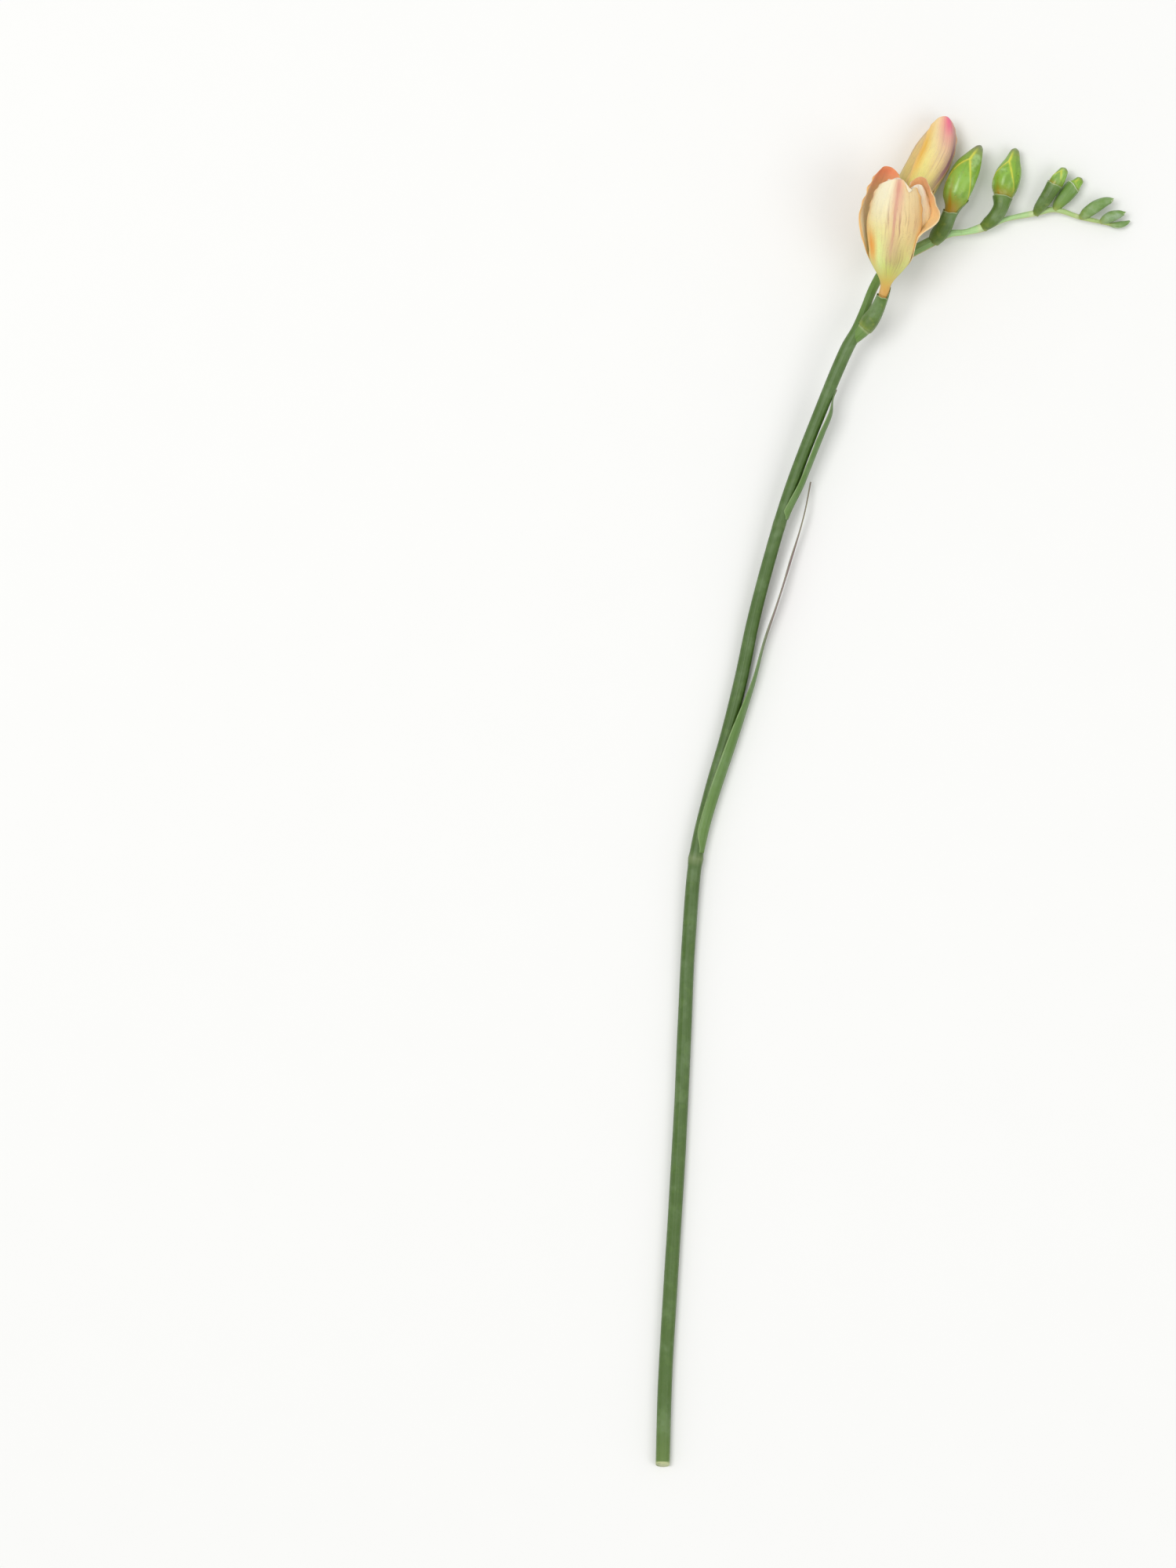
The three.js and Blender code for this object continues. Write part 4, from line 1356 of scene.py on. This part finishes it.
@dataclass
class Flower:
    """An open flower: a tube that widens into a funnel, and six tepals in two rings."""

    number: str
    spine_points: Points
    bracts: BractShape
    tube_radius: float
    funnel_radius: float
    tepals: Sequence[Tepal]
    tube_finish: TepalFinish
    thickness: float = 0.5
    groove: float = 0.22
    ridge_height: float = 0.025
    pucker: float = 0.14
    frill: float = 0.35
    rows: int = 130
    columns: int = 61
    spine: Spine = field(init=False)

    def __post_init__(self) -> None:
        """Works out the spine."""
        self.spine = Spine(self.spine_points)

    def funnel(self, height: Array) -> Array:
        """The flower's radius against the height above the bracts: a tube, then a funnel."""
        return lerp(self.tube_radius, self.funnel_radius, smoothstep(height, FUNNEL_START, FUNNEL_END))

    def body_radius(self, distance: Array) -> Array:
        """The radius inside the bracts and just above them.

        Args:
            distance: distances along the spine.

        Returns:
            The radius at each.
        """
        reach = self.bracts.reach
        inside = Profile([*BRACTED_RADIUS, (1, self.tube_radius)])(distance / reach)
        return np.where(distance < reach, inside, self.funnel(distance - reach))

    def tepal_face(self, tepal: Tepal, q: Array, v: Array) -> tuple[Array, Array]:
        """The outer face of a tepal and its heights.

        The middle of each row lies at the funnel's radius plus the flare less the hook.
        From there the row bends round by its length over the roll, less what its open
        edges take back, and its points are the running sums of the bend's cosine and
        sine. Its half width grows with the funnel and then closes in an elliptic crown.

        Args:
            tepal: the tepal.
            q: the place along it, from 0 at its root to 1 at its tip.
            v: the place across it, from -1 to 1.

        Returns:
            Its points, and their heights above the bracts.
        """
        share = 1 - (1 - q) ** TEPAL_CROWDING
        height = lerp(TEPAL_ROOT, tepal.reach - TEPAL_SHOULDER * v**2, share)
        inset = lerp(*INNER_INSET, smoothstep(height, *INSET_HEIGHTS)) if tepal.inner else 0.0
        radius = self.funnel(height)
        opening = smoothstep(height, tepal.opens_at, TEPAL_OPEN_SHARE * tepal.reach)
        near_tip = np.clip((share - TEPAL_TIP_START) / (1 - TEPAL_TIP_START), 0, 1)
        middle = radius - inset + tepal.flare * opening - tepal.hook * near_tip**2
        roll = lerp(radius - inset, tepal.roll, smoothstep(height, *ROLL_HEIGHTS))
        growth = lerp(TEPAL_ROOT_WIDTH, 1, smoothstep(height, *WIDTH_HEIGHTS))
        growth = radius / self.funnel_radius * growth
        width = tepal.half_width * growth * np.sqrt(1 - TEPAL_TAPER * near_tip**2.4)
        opened = smoothstep(height, tepal.opens_at - 1, tepal.opens_at + EDGE_OPENING)
        opened = tepal.open_edges * smoothstep(np.abs(v), 0.35, 1.0) * opened
        bend = v * width / roll * (1 - opened)
        ruffle = tepal.wave * np.sin(4.2 * np.pi * share + tepal.faces) * v * v
        back = ruffle * smoothstep(share, 0.4, 0.9) - running_sum(np.sin(bend) * width, v)
        aside = running_sum(np.cos(bend) * width, v)
        if tepal.curl:
            height, lean = self.curled(tepal, height, v)
            back = back + lean
        turned = tepal.faces + tepal.turn * opening
        frames = self.spine.frames(self.bracts.reach + height)
        up = middle * cosd(tepal.faces) + back * cosd(turned) - aside * sind(turned)
        side = middle * sind(tepal.faces) + back * sind(turned) + aside * cosd(turned)
        return frames.point + frames.above * up[..., None] + frames.across * side[..., None], height

    def curled(self, tepal: Tepal, height: Array, v: Array) -> tuple[Array, Array]:
        """Rolls a corner of a tepal's tip outwards, round a line that dips at that corner.

        Args:
            tepal: the tepal.
            height: the heights of its flat points.
            v: the place across it of each point.

        Returns:
            Their heights on the roll, and how far they lean out.
        """
        line = tepal.reach - TEPAL_SHOULDER * v**2 - tepal.curl * bell(v - tepal.curl_side, 0.3)
        radius = tepal.curl / 3.0
        turn = np.maximum(height - line, 0) / radius
        return np.minimum(height, line) + radius * np.sin(turn), radius * (1 - np.cos(turn))

    def build_tepal(self, tepal: Tepal, name: str) -> None:
        """Makes one tepal: a thin shell with a groove down its middle and fine ridges beside it.

        Args:
            tepal: the tepal.
            name: the piece's name.
        """
        q, v = grid(self.rows, self.columns)
        outer, height = self.tepal_face(tepal, q, v)
        normal = normals_of(outer)
        free = smoothstep(height, *RIDGE_HEIGHTS)
        groove = -self.groove * bell(v, 0.06) * free * smoothstep(q, 1.0, 0.85)
        ridges = self.ridge_height * np.cos(2 * np.pi * 6.5 * v + 0.6 * np.sin(7 * q)) * free
        ridges = ridges * (1 - v**4)
        pucker = self.pucker * np.sin(4 * np.pi * q + 3 * v + tepal.faces) * np.cos(2 * np.pi * v)
        frill = self.frill * np.sin(15 * np.pi * q + tepal.faces) * smoothstep(np.abs(v), 0.8, 1.0)
        frill = frill * smoothstep(q, 0.5, 0.8) * min(1.0, 2 * tepal.wave)
        outer = outer + normal * (groove + ridges + pucker * free + frill)[..., None]
        fade = lerp(1.0, 0.5, smoothstep(height, *THINNING_HEIGHTS))
        fade = fade * lerp(1.0, 0.35, smoothstep(q, 0.92, 1.0))
        depth = self.thickness * np.sqrt(np.clip(1 - v**8, 0, 1)) * fade
        inner = outer - normal * depth[..., None]
        piece = shell_mesh(name, outer, inner, {"height": height / HEIGHT_UNIT, "side": v})
        dress(piece, f"flower_{self.number}", tepal.finish.material())

    def build_tube(self) -> None:
        """Makes the tube and funnel under the tepals: up the outside and back down the inside."""
        reach, faces = self.bracts.reach, self.tepals[0].faces
        up, down = TUBE_ROWS
        climb = np.linspace(TUBE_FOOT, reach + TUBE_TOP, up)
        descent = np.linspace(reach + TUBE_TOP, reach + TUBE_FLOOR, down)
        distance = np.concatenate([climb, descent])[:, None]
        inside = (np.arange(up + down) >= up)[:, None]
        angle = turns(TUBE_SIDES, 0.5)
        seams = TUBE_SEAM * cosd(6 * (angle - faces)) * smoothstep(distance, TUBE_FOOT, reach + 6)
        radius = self.body_radius(distance) - np.where(inside, TUBE_INSETS[1], TUBE_INSETS[0]) + seams
        fields = {
            "height": np.clip((distance - reach) / HEIGHT_UNIT, 0, 1),
            "side": wrap(angle - faces, 120) / 75,
            "inside": inside,
        }
        points = self.spine.frames(distance).around(angle, radius)
        piece = tube_mesh(f"flower_{self.number}_tube", points, fields)
        dress(piece, f"flower_{self.number}", self.tube_finish.material())

    def build_shoulder(self) -> None:
        """Makes the stump of stalk that the bracts stand on."""
        share = np.linspace(0, 1, SHOULDER_ROWS)[:, None]
        angle = turns(SHOULDER_SIDES)
        radius = Profile(SHOULDER_RADIUS)(share) + 0.02 * cosd(9 * angle)
        distance = lerp(SHOULDER_START, self.bracts.start + SHOULDER_OVERLAP, share)
        fields = {
            "height": 0.6,
            "side": angle / 180 - 1,
            "stain": 0.0,
            "rim": 0.35 * bell(share - 0.82, 0.05),
        }
        points = self.spine.frames(distance).around(angle, radius)
        piece = tube_mesh(f"stem_shoulder_{self.number}", points, fields)
        dress(piece, "stem", STEM_FINISH.material())

    def build(self) -> None:
        """Makes the tube, the tepals, the stamens, the bracts and a stump if they stand on one."""
        self.build_tube()
        for index, tepal in enumerate(self.tepals, start=1):
            ring = "inner" if tepal.inner else "outer"
            self.build_tepal(tepal, f"flower_{self.number}_{ring}_tepal_{index}")
        Stamens(self.number, self.spine, self.bracts.reach + STAMEN_FOOT).build()
        Bracts(self.number, self.spine, self.body_radius, self.bracts).build()
        if self.bracts.start > 0:
            self.build_shoulder()


@dataclass
class Stamens:
    """The style and the three stamens that stand in a flower."""

    number: str
    spine: Spine
    foot: float
    ring: float = 1.5
    filament: float = 0.4
    reach: float = 23.0
    anther_length: float = 7.0
    anther_radius: float = 0.75
    style_reach: float = 27.0
    rows: int = 24
    sides: int = 16

    def rod(self, name: str, angle: float, start: float, end: float, off: float, radius: Pairs) -> None:
        """Makes a round rod beside the spine.

        Args:
            name: the piece's name.
            angle: the side of the spine that it stands on.
            start: where it starts, over the stamens' foot.
            end: where it ends, over the same.
            off: its distance from the spine.
            radius: its radius against the share of its length.
        """
        share = np.linspace(0, 1, self.rows)[:, None]
        turn = turns(self.sides)
        frames = self.spine.frames(self.foot + lerp(start, end, share))
        beside = replace(frames, point=frames.around(angle, off))
        fields = {"height": share, "side": sind(turn / 2) * 2 - 1}
        piece = tube_mesh(name, beside.around(turn, Profile(radius)(share)), fields)
        dress(piece, f"stamens_{self.number}", STAMEN_FINISH.material())

    def build(self) -> None:
        """Makes the style, and a filament and an anther for each stamen."""
        style = ((0, 0.5), (0.7, 0.45), (0.92, 0.6), (1, 0.25))
        thread = ((0, self.filament + 0.1), (1, self.filament))
        anther = ((0, 0.2), (0.15, 0.6), (0.5, self.anther_radius), (0.85, 0.55), (1, 0.15))
        tie = self.reach - self.anther_length
        self.rod(f"style_{self.number}", 0.0, 0.0, self.style_reach, 0.0, style)
        for index, angle in enumerate((0.0, 120.0, 240.0), start=1):
            self.rod(f"filament_{self.number}_{index}", angle, 0.0, tie + 0.6, self.ring, thread)
            self.rod(f"anther_{self.number}_{index}", angle, tie, self.reach, self.ring, anther)


# ---------------------------------------------------------------------------
# Buds
# ---------------------------------------------------------------------------


@dataclass
class Bud:
    """A closed bud in its bracts. Its front tepal ends in a pointed arch over the others.

    The radius and the arch's top are given against the share of the spine's length.
    """

    number: str
    spine_points: Points
    bracts: BractShape
    radius: Pairs
    stained: float = 0.0
    faces: float = -22.0
    half_angle: float = 108.0
    arch: float = 0.82
    arch_half_angle: float = 4.0
    arch_power: float = 0.8
    step: float = 0.3
    lip: float = 0.12
    back_seam: float = 0.18
    back_seam_angle: float = 168.0
    thread_height: float = 0.03
    swell: float = 0.02
    seam: float = 0.5
    tip_length: float = 1.1
    foot: float = 4.7
    rows: int = 136
    sides: int = 112
    spine: Spine = field(init=False)
    radius_at: Profile = field(init=False)

    def __post_init__(self) -> None:
        """Works out the spine and the radius along it."""
        self.spine = Spine(self.spine_points)
        self.radius_at = Profile(self.radius)

    def body_radius(self, distance: Array) -> Array:
        """The bud's radius at a distance along its spine."""
        return self.radius_at(distance / self.spine.length)

    def stains(self, share: Array, off: Array, past_edge: Array) -> Array:
        """How stained the skin is: beside the left edge, in a slanted streak, and at the foot.

        Args:
            share: the share of the spine's length.
            off: the angle from the front tepal's middle.
            past_edge: the distance past the front tepal's edge.

        Returns:
            Numbers from 0 to 1.
        """
        start = self.bracts.reach / self.spine.length
        left = bell(past_edge, 0.9) * (off < 0) * bell(share - 0.66, 0.14) * 0.8
        streak = bell(off + 12 + 30 * (share - start), 9) * smoothstep(share, 0.75, start) * 0.8
        base = (1 - smoothstep(share, start, start + 0.15)) * (0.65 + 0.35 * cosd(2 * off))
        return np.clip(self.stained * (left + streak + base), 0, 1)

    def build_skin(self) -> None:
        """Makes the bud's body, whose front tepal stands a step above the rest.

        The tepal's edge lies at a half angle that falls from its full value at the
        bracts to a narrow ridge at the arch, as a power of what is left to climb. The end is
        rounded off as a quarter of an ellipse.
        """
        length = self.spine.length
        start = self.bracts.reach / length
        distance = lerp(self.foot, length, 1 - np.linspace(1, 0, self.rows) ** 1.5)[:, None]
        share = distance / length
        angle = turns(self.sides)
        off = wrap(angle - self.faces)
        climb = np.clip((share - start) / (self.arch - start), 0, 1)
        half = lerp(self.arch_half_angle, self.half_angle, (1 - climb) ** self.arch_power)
        cap = np.clip((distance - length + self.tip_length) / self.tip_length, 0, 1)
        radius = self.radius_at(share) * np.sqrt(1 - cap**2)
        past_edge = (np.abs(off) - half) * np.radians(1) * radius
        past_seam = (np.abs(off) - self.back_seam_angle) * np.radians(1) * radius
        grown = smoothstep(share, start, start + 0.12) * smoothstep(share, 0.99, 0.85)
        relief = self.lip * bell(past_edge + 0.25, 0.3) - self.back_seam * bell(past_seam, 0.3)
        relief = relief + self.thread_height * cosd(9 * off + 20 * np.sin(6 * share))
        relief = relief - self.step * smoothstep(past_edge, -0.1, 0.35)
        swell = 1 + self.swell * cosd(3 * (angle - self.faces))
        radius = np.maximum(radius * swell + relief * grown, 0.02)
        climbed = np.clip((share - start) / (1 - start), 0, 1)
        yellow = bell(past_edge + 0.15, self.seam) * grown
        fields = {
            "height": np.where(share < start, 0.35, climbed * 0.6 + 0.4),
            "side": off / 180,
            "rim": yellow * smoothstep(share, start - 0.02, start + 0.28),
            "stain": self.stains(share, off, past_edge),
        }
        points = self.spine.frames(distance).around(angle, radius)
        piece = tube_mesh(f"bud_{self.number}_skin", points, fields)
        dress(piece, f"bud_{self.number}", BUD_FINISH.material())

    def build(self) -> None:
        """Makes the bud and its bracts."""
        self.build_skin()
        Bracts(self.number, self.spine, self.body_radius, self.bracts).build()


@dataclass
class TipBud:
    """The last bud of all, still shut in its bract, whose seam starts at an angle and winds up."""

    spine_points: Points = (
        (175.72, 480.12, 3.15), (178.6, 479.9, 2.7), (181.4, 480.6, 2.6), (183.4, 481.6, 2.7),
    )
    radius: Pairs = ((0, 0.7), (0.25, 1.25), (0.55, 1.4), (0.85, 0.8), (1, 0.3))
    seam_starts: float = 40.0
    seam_winds: float = 60.0
    step: float = 0.15
    rows: int = 60
    sides: int = 48

    def build(self) -> None:
        """Makes the bud, with one seam spiralling up it."""
        spine = Spine(self.spine_points)
        share = np.linspace(0, 1, self.rows)[:, None]
        angle = turns(self.sides)
        off = wrap(angle - self.seam_starts - self.seam_winds * share)
        edge = off * np.radians(1) * 1.2
        sunk = self.step * smoothstep(edge, -0.05, 0.15) * smoothstep(edge, 1.6, 0.4)
        distance = lerp(-0.4, spine.length, share)
        points = spine.frames(distance).around(angle, Profile(self.radius)(share) - sunk)
        fields = {
            "height": share,
            "side": off / 180,
            "rim": bell(edge, 0.25) * smoothstep(share, 0.1, 0.3),
        }
        piece = tube_mesh("tip_bud_skin", points, fields)
        dress(piece, "tip_bud", YOUNG_BRACT_FINISH.material())


# ---------------------------------------------------------------------------
# Table, light and camera
# ---------------------------------------------------------------------------


class Lamp(NamedTuple):
    """A square soft light: its place, the length of its side and its power."""

    name: str
    place: tuple[float, float, float]
    size: float
    watts: float


@dataclass
class Studio:
    """A pale table, soft light from above and a camera that looks straight down."""

    centre: tuple[float, float] = (-29.3, 260.6)
    view_height: float = 616.0
    camera_distance: float = 3000.0
    sensor: float = 36.0
    table_size: float = 4000.0
    lamps: Sequence[Lamp] = (
        Lamp("key_light", (-1100.0, 900.0, 3200.0), 1500.0, 46.0),
        Lamp("fill_light", (1500.0, -200.0, 2200.0), 1500.0, 12.0),
    )
    lit_place: tuple[float, float, float] = (80.0, 400.0, 0.0)
    room_light: float = 0.62

    def build(self) -> None:
        """Makes the table, the lights, the world and the camera."""
        self.build_table()
        for lamp in self.lamps:
            self.build_light(lamp)
        world = bpy.data.worlds.new("soft_room")
        world.use_nodes = True
        background = world.node_tree.nodes["Background"]
        background.inputs["Color"].default_value = (1.0, 1.0, 1.0, 1.0)
        background.inputs["Strength"].default_value = self.room_light
        bpy.context.scene.world = world
        bpy.context.scene.view_settings.view_transform = "Standard"
        self.build_camera()

    def build_table(self) -> None:
        """Makes the table top, just under the stem."""
        half = self.table_size / 2
        x, y = self.centre
        signs = ((-1, -1), (1, -1), (1, 1), (-1, 1))
        corners = np.array([(x + across * half, y + along * half, 0) for across, along in signs], float)
        table = write_mesh("table_top", corners, [np.array([[0, 1, 2, 3]])], {})
        s = Shader("pale table")
        grain = s.noise(s.place(), 40.0, 3.0)
        colour = s.mix(s.times(grain, 0.2), hue("f4f4f2"), hue("eeeeec"))
        table.data.materials.append(s.finish(colour, 0.7, grain, 0.02, Specular_IOR_Level=0.2))

    def build_light(self, lamp: Lamp) -> None:
        """Makes a light that looks at the flowers.

        Args:
            lamp: the light.
        """
        light = bpy.data.lights.new(lamp.name, "AREA")
        light.size = lamp.size * MM
        light.energy = lamp.watts
        stand = bpy.data.objects.new(lamp.name, light)
        stand.location = Vector(lamp.place) * MM
        aim = Vector(self.lit_place) * MM - stand.location
        stand.rotation_euler = aim.to_track_quat("-Z", "Y").to_euler()
        bpy.context.scene.collection.objects.link(stand)

    def build_camera(self) -> None:
        """Makes the camera over the middle of the view, its long side along +Y."""
        data = bpy.data.cameras.new("camera")
        data.sensor_width = self.sensor
        data.lens = self.sensor * self.camera_distance / self.view_height
        data.clip_end = 20.0
        camera = bpy.data.objects.new("camera", data)
        camera.location = Vector((*self.centre, self.camera_distance)) * MM
        bpy.context.scene.collection.objects.link(camera)
        bpy.context.scene.camera = camera


# ---------------------------------------------------------------------------
# The whole stem
# ---------------------------------------------------------------------------

# A tepal's numbers are where it faces, its reach, half width, flare, hook, roll, turn and
# wave. A pair of bracts starts with its reach and the radius of its foot.
FLOWER_1 = Flower(
    number="1",
    spine_points=(
        (76.1, 436.1, 14.8), (79.7, 439.9, 15.8), (83.0, 444.6, 17.6), (85.0, 448.8, 19.4),
        (86.3, 452.8, 21.2), (88.5, 468.0, 26.6), (90.4, 484.0, 31.2), (92.6, 506.0, 36.4),
    ),
    bracts=BractShape(
        20.4, 2.4, clearance=(1.5, 0.32), outer_tip=0.0, outer_drop=0.065, inner_tip=0.16, start=4.0,
    ),
    tube_radius=1.95,
    funnel_radius=9.0,
    tube_finish=FRONT_TEPAL,
    tepals=(
        Tepal(-2, 46.4, 14.0, 1.6, 4.2, 11.4, 0, 0.3, FRONT_TEPAL, curl=3.6, curl_side=0.55),
        Tepal(-132, 49.4, 13.0, 3.2, 4.8, 14, 0, 0.5, LEFT_TEPAL, open_edges=0.7),
        Tepal(112, 46.8, 10.2, 5.4, 4.6, 20, 18, 0.8, BACK_TEPAL, opens_at=24, open_edges=0.45),
        Tepal(80, 44.4, 9.0, 2.2, 2.2, 16, -42, 0.5, INNER_TEPAL, inner=True),
        Tepal(-66, 45.4, 7.6, 0, 3.6, 9, 8, 0.3, INNER_TEPAL, inner=True),
        Tepal(184, 45.2, 7.8, 1.2, 3.4, 9, 0, 0.3, INNER_TEPAL, inner=True),
    ),
)
FLOWER_2 = Flower(
    number="2",
    spine_points=(
        (87.0, 462.2, 10.6), (89.4, 470.0, 10.2), (92.4, 479.4, 9.4), (99.6, 495.2, 8.4),
        (107.2, 509.9, 7.9), (110.8, 526.0, 8.0),
    ),
    bracts=BractShape(18.6, 2.0),
    tube_radius=1.95,
    funnel_radius=7.9,
    tube_finish=SIDE_TEPAL,
    tepals=(
        Tepal(13, 46, 8.3, 0.9, 5.6, 8.6, 0, 0.2, BLUSHED_TEPAL),
        Tepal(-82, 44.2, 9.8, 0.3, 5.8, 8.2, 0, 0.2, SIDE_TEPAL),
        Tepal(112, 44.5, 9.4, 0.1, 4.6, 8.0, 0, 0.2, SIDE_TEPAL),
        Tepal(62, 42.5, 6.8, 0, 4.6, 7, 0, 0.2, INNER_TEPAL, inner=True),
        Tepal(-58, 43.0, 6.8, 0.2, 5.6, 7.4, 0, 0.2, SIDE_TEPAL, inner=True),
        Tepal(182, 42.5, 5.8, 0, 4.6, 7, 0, 0.2, INNER_TEPAL, inner=True),
    ),
)
BUDS = (
    Bud(
        number="3",
        spine_points=(
            (106.1, 473.2, 7.7), (109.9, 478.3, 10.1), (112.9, 485.0, 11.0), (114.9, 491.3, 10.6),
            (118.0, 499.3, 10.0), (121.6, 505.6, 9.6), (124.6, 510.7, 9.4),
        ),
        bracts=BractShape(14.2, 2.3, clearance=(1.4, 0.25), outer_tip=-0.08, inner_tip=0.55),
        radius=((0, 1.4), (0.2, 2.2), (0.3, 2.5), (0.37, 3.2), (0.45, 4.9), (0.54, 5.6), (0.66, 5.8),
                (0.78, 5.2), (0.88, 3.6), (0.96, 1.9), (1, 0.9)),
        stained=1.0,
        faces=-14.0,
    ),
    Bud(
        number="4",
        spine_points=(
            (125.7, 478.9, 5.6), (130.0, 482.4, 7.4), (132.6, 486.6, 7.2), (133.5, 491.3, 6.3),
            (134.7, 497.1, 5.6), (136.5, 502.4, 5.4), (138.5, 510.0, 5.0),
        ),
        bracts=BractShape(14.6, 1.9, outer_tip=0.03, inner_tip=0.02, inner_drop=0.0),
        radius=((0, 1.2), (0.2, 2.0), (0.33, 2.5), (0.42, 3.4), (0.52, 5.0), (0.62, 5.5),
                (0.74, 5.0), (0.88, 3.0), (0.96, 1.8), (1, 1.0)),
        stained=0.6,
        half_angle=88.0,
    ),
    Bud(
        number="5",
        spine_points=(
            (146.2, 484.2, 4.4), (150.3, 490.0, 6.8), (153.7, 495.6, 7.2), (156.3, 499.6, 7.0),
            (157.9, 502.0, 6.8),
        ),
        bracts=BractShape(
            14.4, 1.45, clearance=(0.7, 0.16), outer_tip=-0.05, inner_tip=0.0, inner_drop=0.0,
        ),
        radius=((0, 0.9), (0.25, 1.7), (0.5, 2.35), (0.64, 2.75), (0.72, 2.95), (0.8, 2.85),
                (0.9, 2.3), (0.96, 1.75), (1, 1.3)),
        half_angle=64.0,
        arch=0.9,
    ),
    Bud(
        number="6",
        spine_points=(
            (153.7, 485.9, 4.1), (156.2, 489.2, 4.2), (159.6, 493.2, 3.9), (162.4, 496.2, 3.8),
            (164.4, 498.3, 3.8),
        ),
        bracts=BractShape(11.4, 1.2, clearance=(0.6, 0.16), inner_tip=0.14, finish=YOUNG_BRACT_FINISH),
        radius=((0, 0.8), (0.2, 1.6), (0.42, 2.5), (0.6, 2.75), (0.78, 2.55), (0.9, 2.0), (1, 1.3)),
    ),
    Bud(
        number="7",
        spine_points=(
            (163.9, 482.9, 3.9), (167.2, 485.1, 5.4), (170.9, 487.5, 5.8), (174.0, 488.9, 5.6),
            (176.7, 489.5, 5.4),
        ),
        bracts=BractShape(13.4, 1.1, closing=0.22, teeth=0.05, finish=YOUNG_BRACT_FINISH),
        radius=((0, 0.6), (0.25, 1.25), (0.5, 1.6), (0.75, 1.35), (0.92, 1.0), (1, 0.6)),
    ),
    Bud(
        number="8",
        spine_points=(
            (171.9, 481.1, 3.6), (174.9, 482.6, 4.6), (178.3, 483.8, 4.8), (181.2, 484.4, 4.8),
        ),
        bracts=BractShape(9.2, 0.9, closing=0.35, teeth=0.09, finish=YOUNG_BRACT_FINISH),
        radius=((0, 0.5), (0.3, 1.0), (0.5, 1.3), (0.75, 1.05), (0.92, 0.75), (1, 0.45)),
    ),
)


def leaves(stem: Stem) -> list[Leaf]:
    """The two leaves on a stem.

    Args:
        stem: the stem.

    Returns:
        The lower leaf and the upper one.
    """
    return [
        Leaf(
            name="leaf_lower_blade",
            node="leaf_lower",
            stem=stem,
            foot=233.8,
            sheath_end=302,
            blade=(
                (39.8, 315.0, 4.6), (45.0, 331.0, 4.9), (50.8, 349.5, 5.0), (55.6, 366.5, 5.0),
                (58.1, 379.0, 5.4),
            ),
            keel_off=((0, 0), (0.6, 0.4), (1, 1.9)),
            roll=((0, 0), (0.4, 0.1), (0.6, 3.2), (1, 4)),
            half_width=((0, 6.2), (0.3, 5.6), (0.5, 3.3), (0.75, 2.5), (0.92, 1.3), (1, 0.45)),
            dry=(0.5, 0.72),
        ),
        Leaf(
            name="leaf_upper_blade",
            node="leaf_upper",
            stem=stem,
            foot=364.8,
            sheath_end=407,
            blade=((66.6, 411.2, 12.4), (68.0, 414.8, 12.8)),
            keel_off=((0, 0), (0.4, 0.8), (0.8, 1.0), (1, 0.9)),
            roll=((0, 0), (0.4, -0.8), (0.75, -0.8), (1, 0)),
            half_width=((0, 4.6), (0.4, 3.7), (0.75, 3.3), (0.92, 1.8), (1, 0.45)),
            dry=(0.97, 1.02),
        ),
    ]


def main() -> None:
    """Builds the stem, its leaves, flowers and buds, and the studio round them."""
    logging.basicConfig(level=logging.INFO, format="%(message)s")
    stem = Stem()
    stem.build()
    for part in (*leaves(stem), FLOWER_1, FLOWER_2, *BUDS, TipBud(), Studio()):
        part.build()


if __name__ == "__main__":
    main()
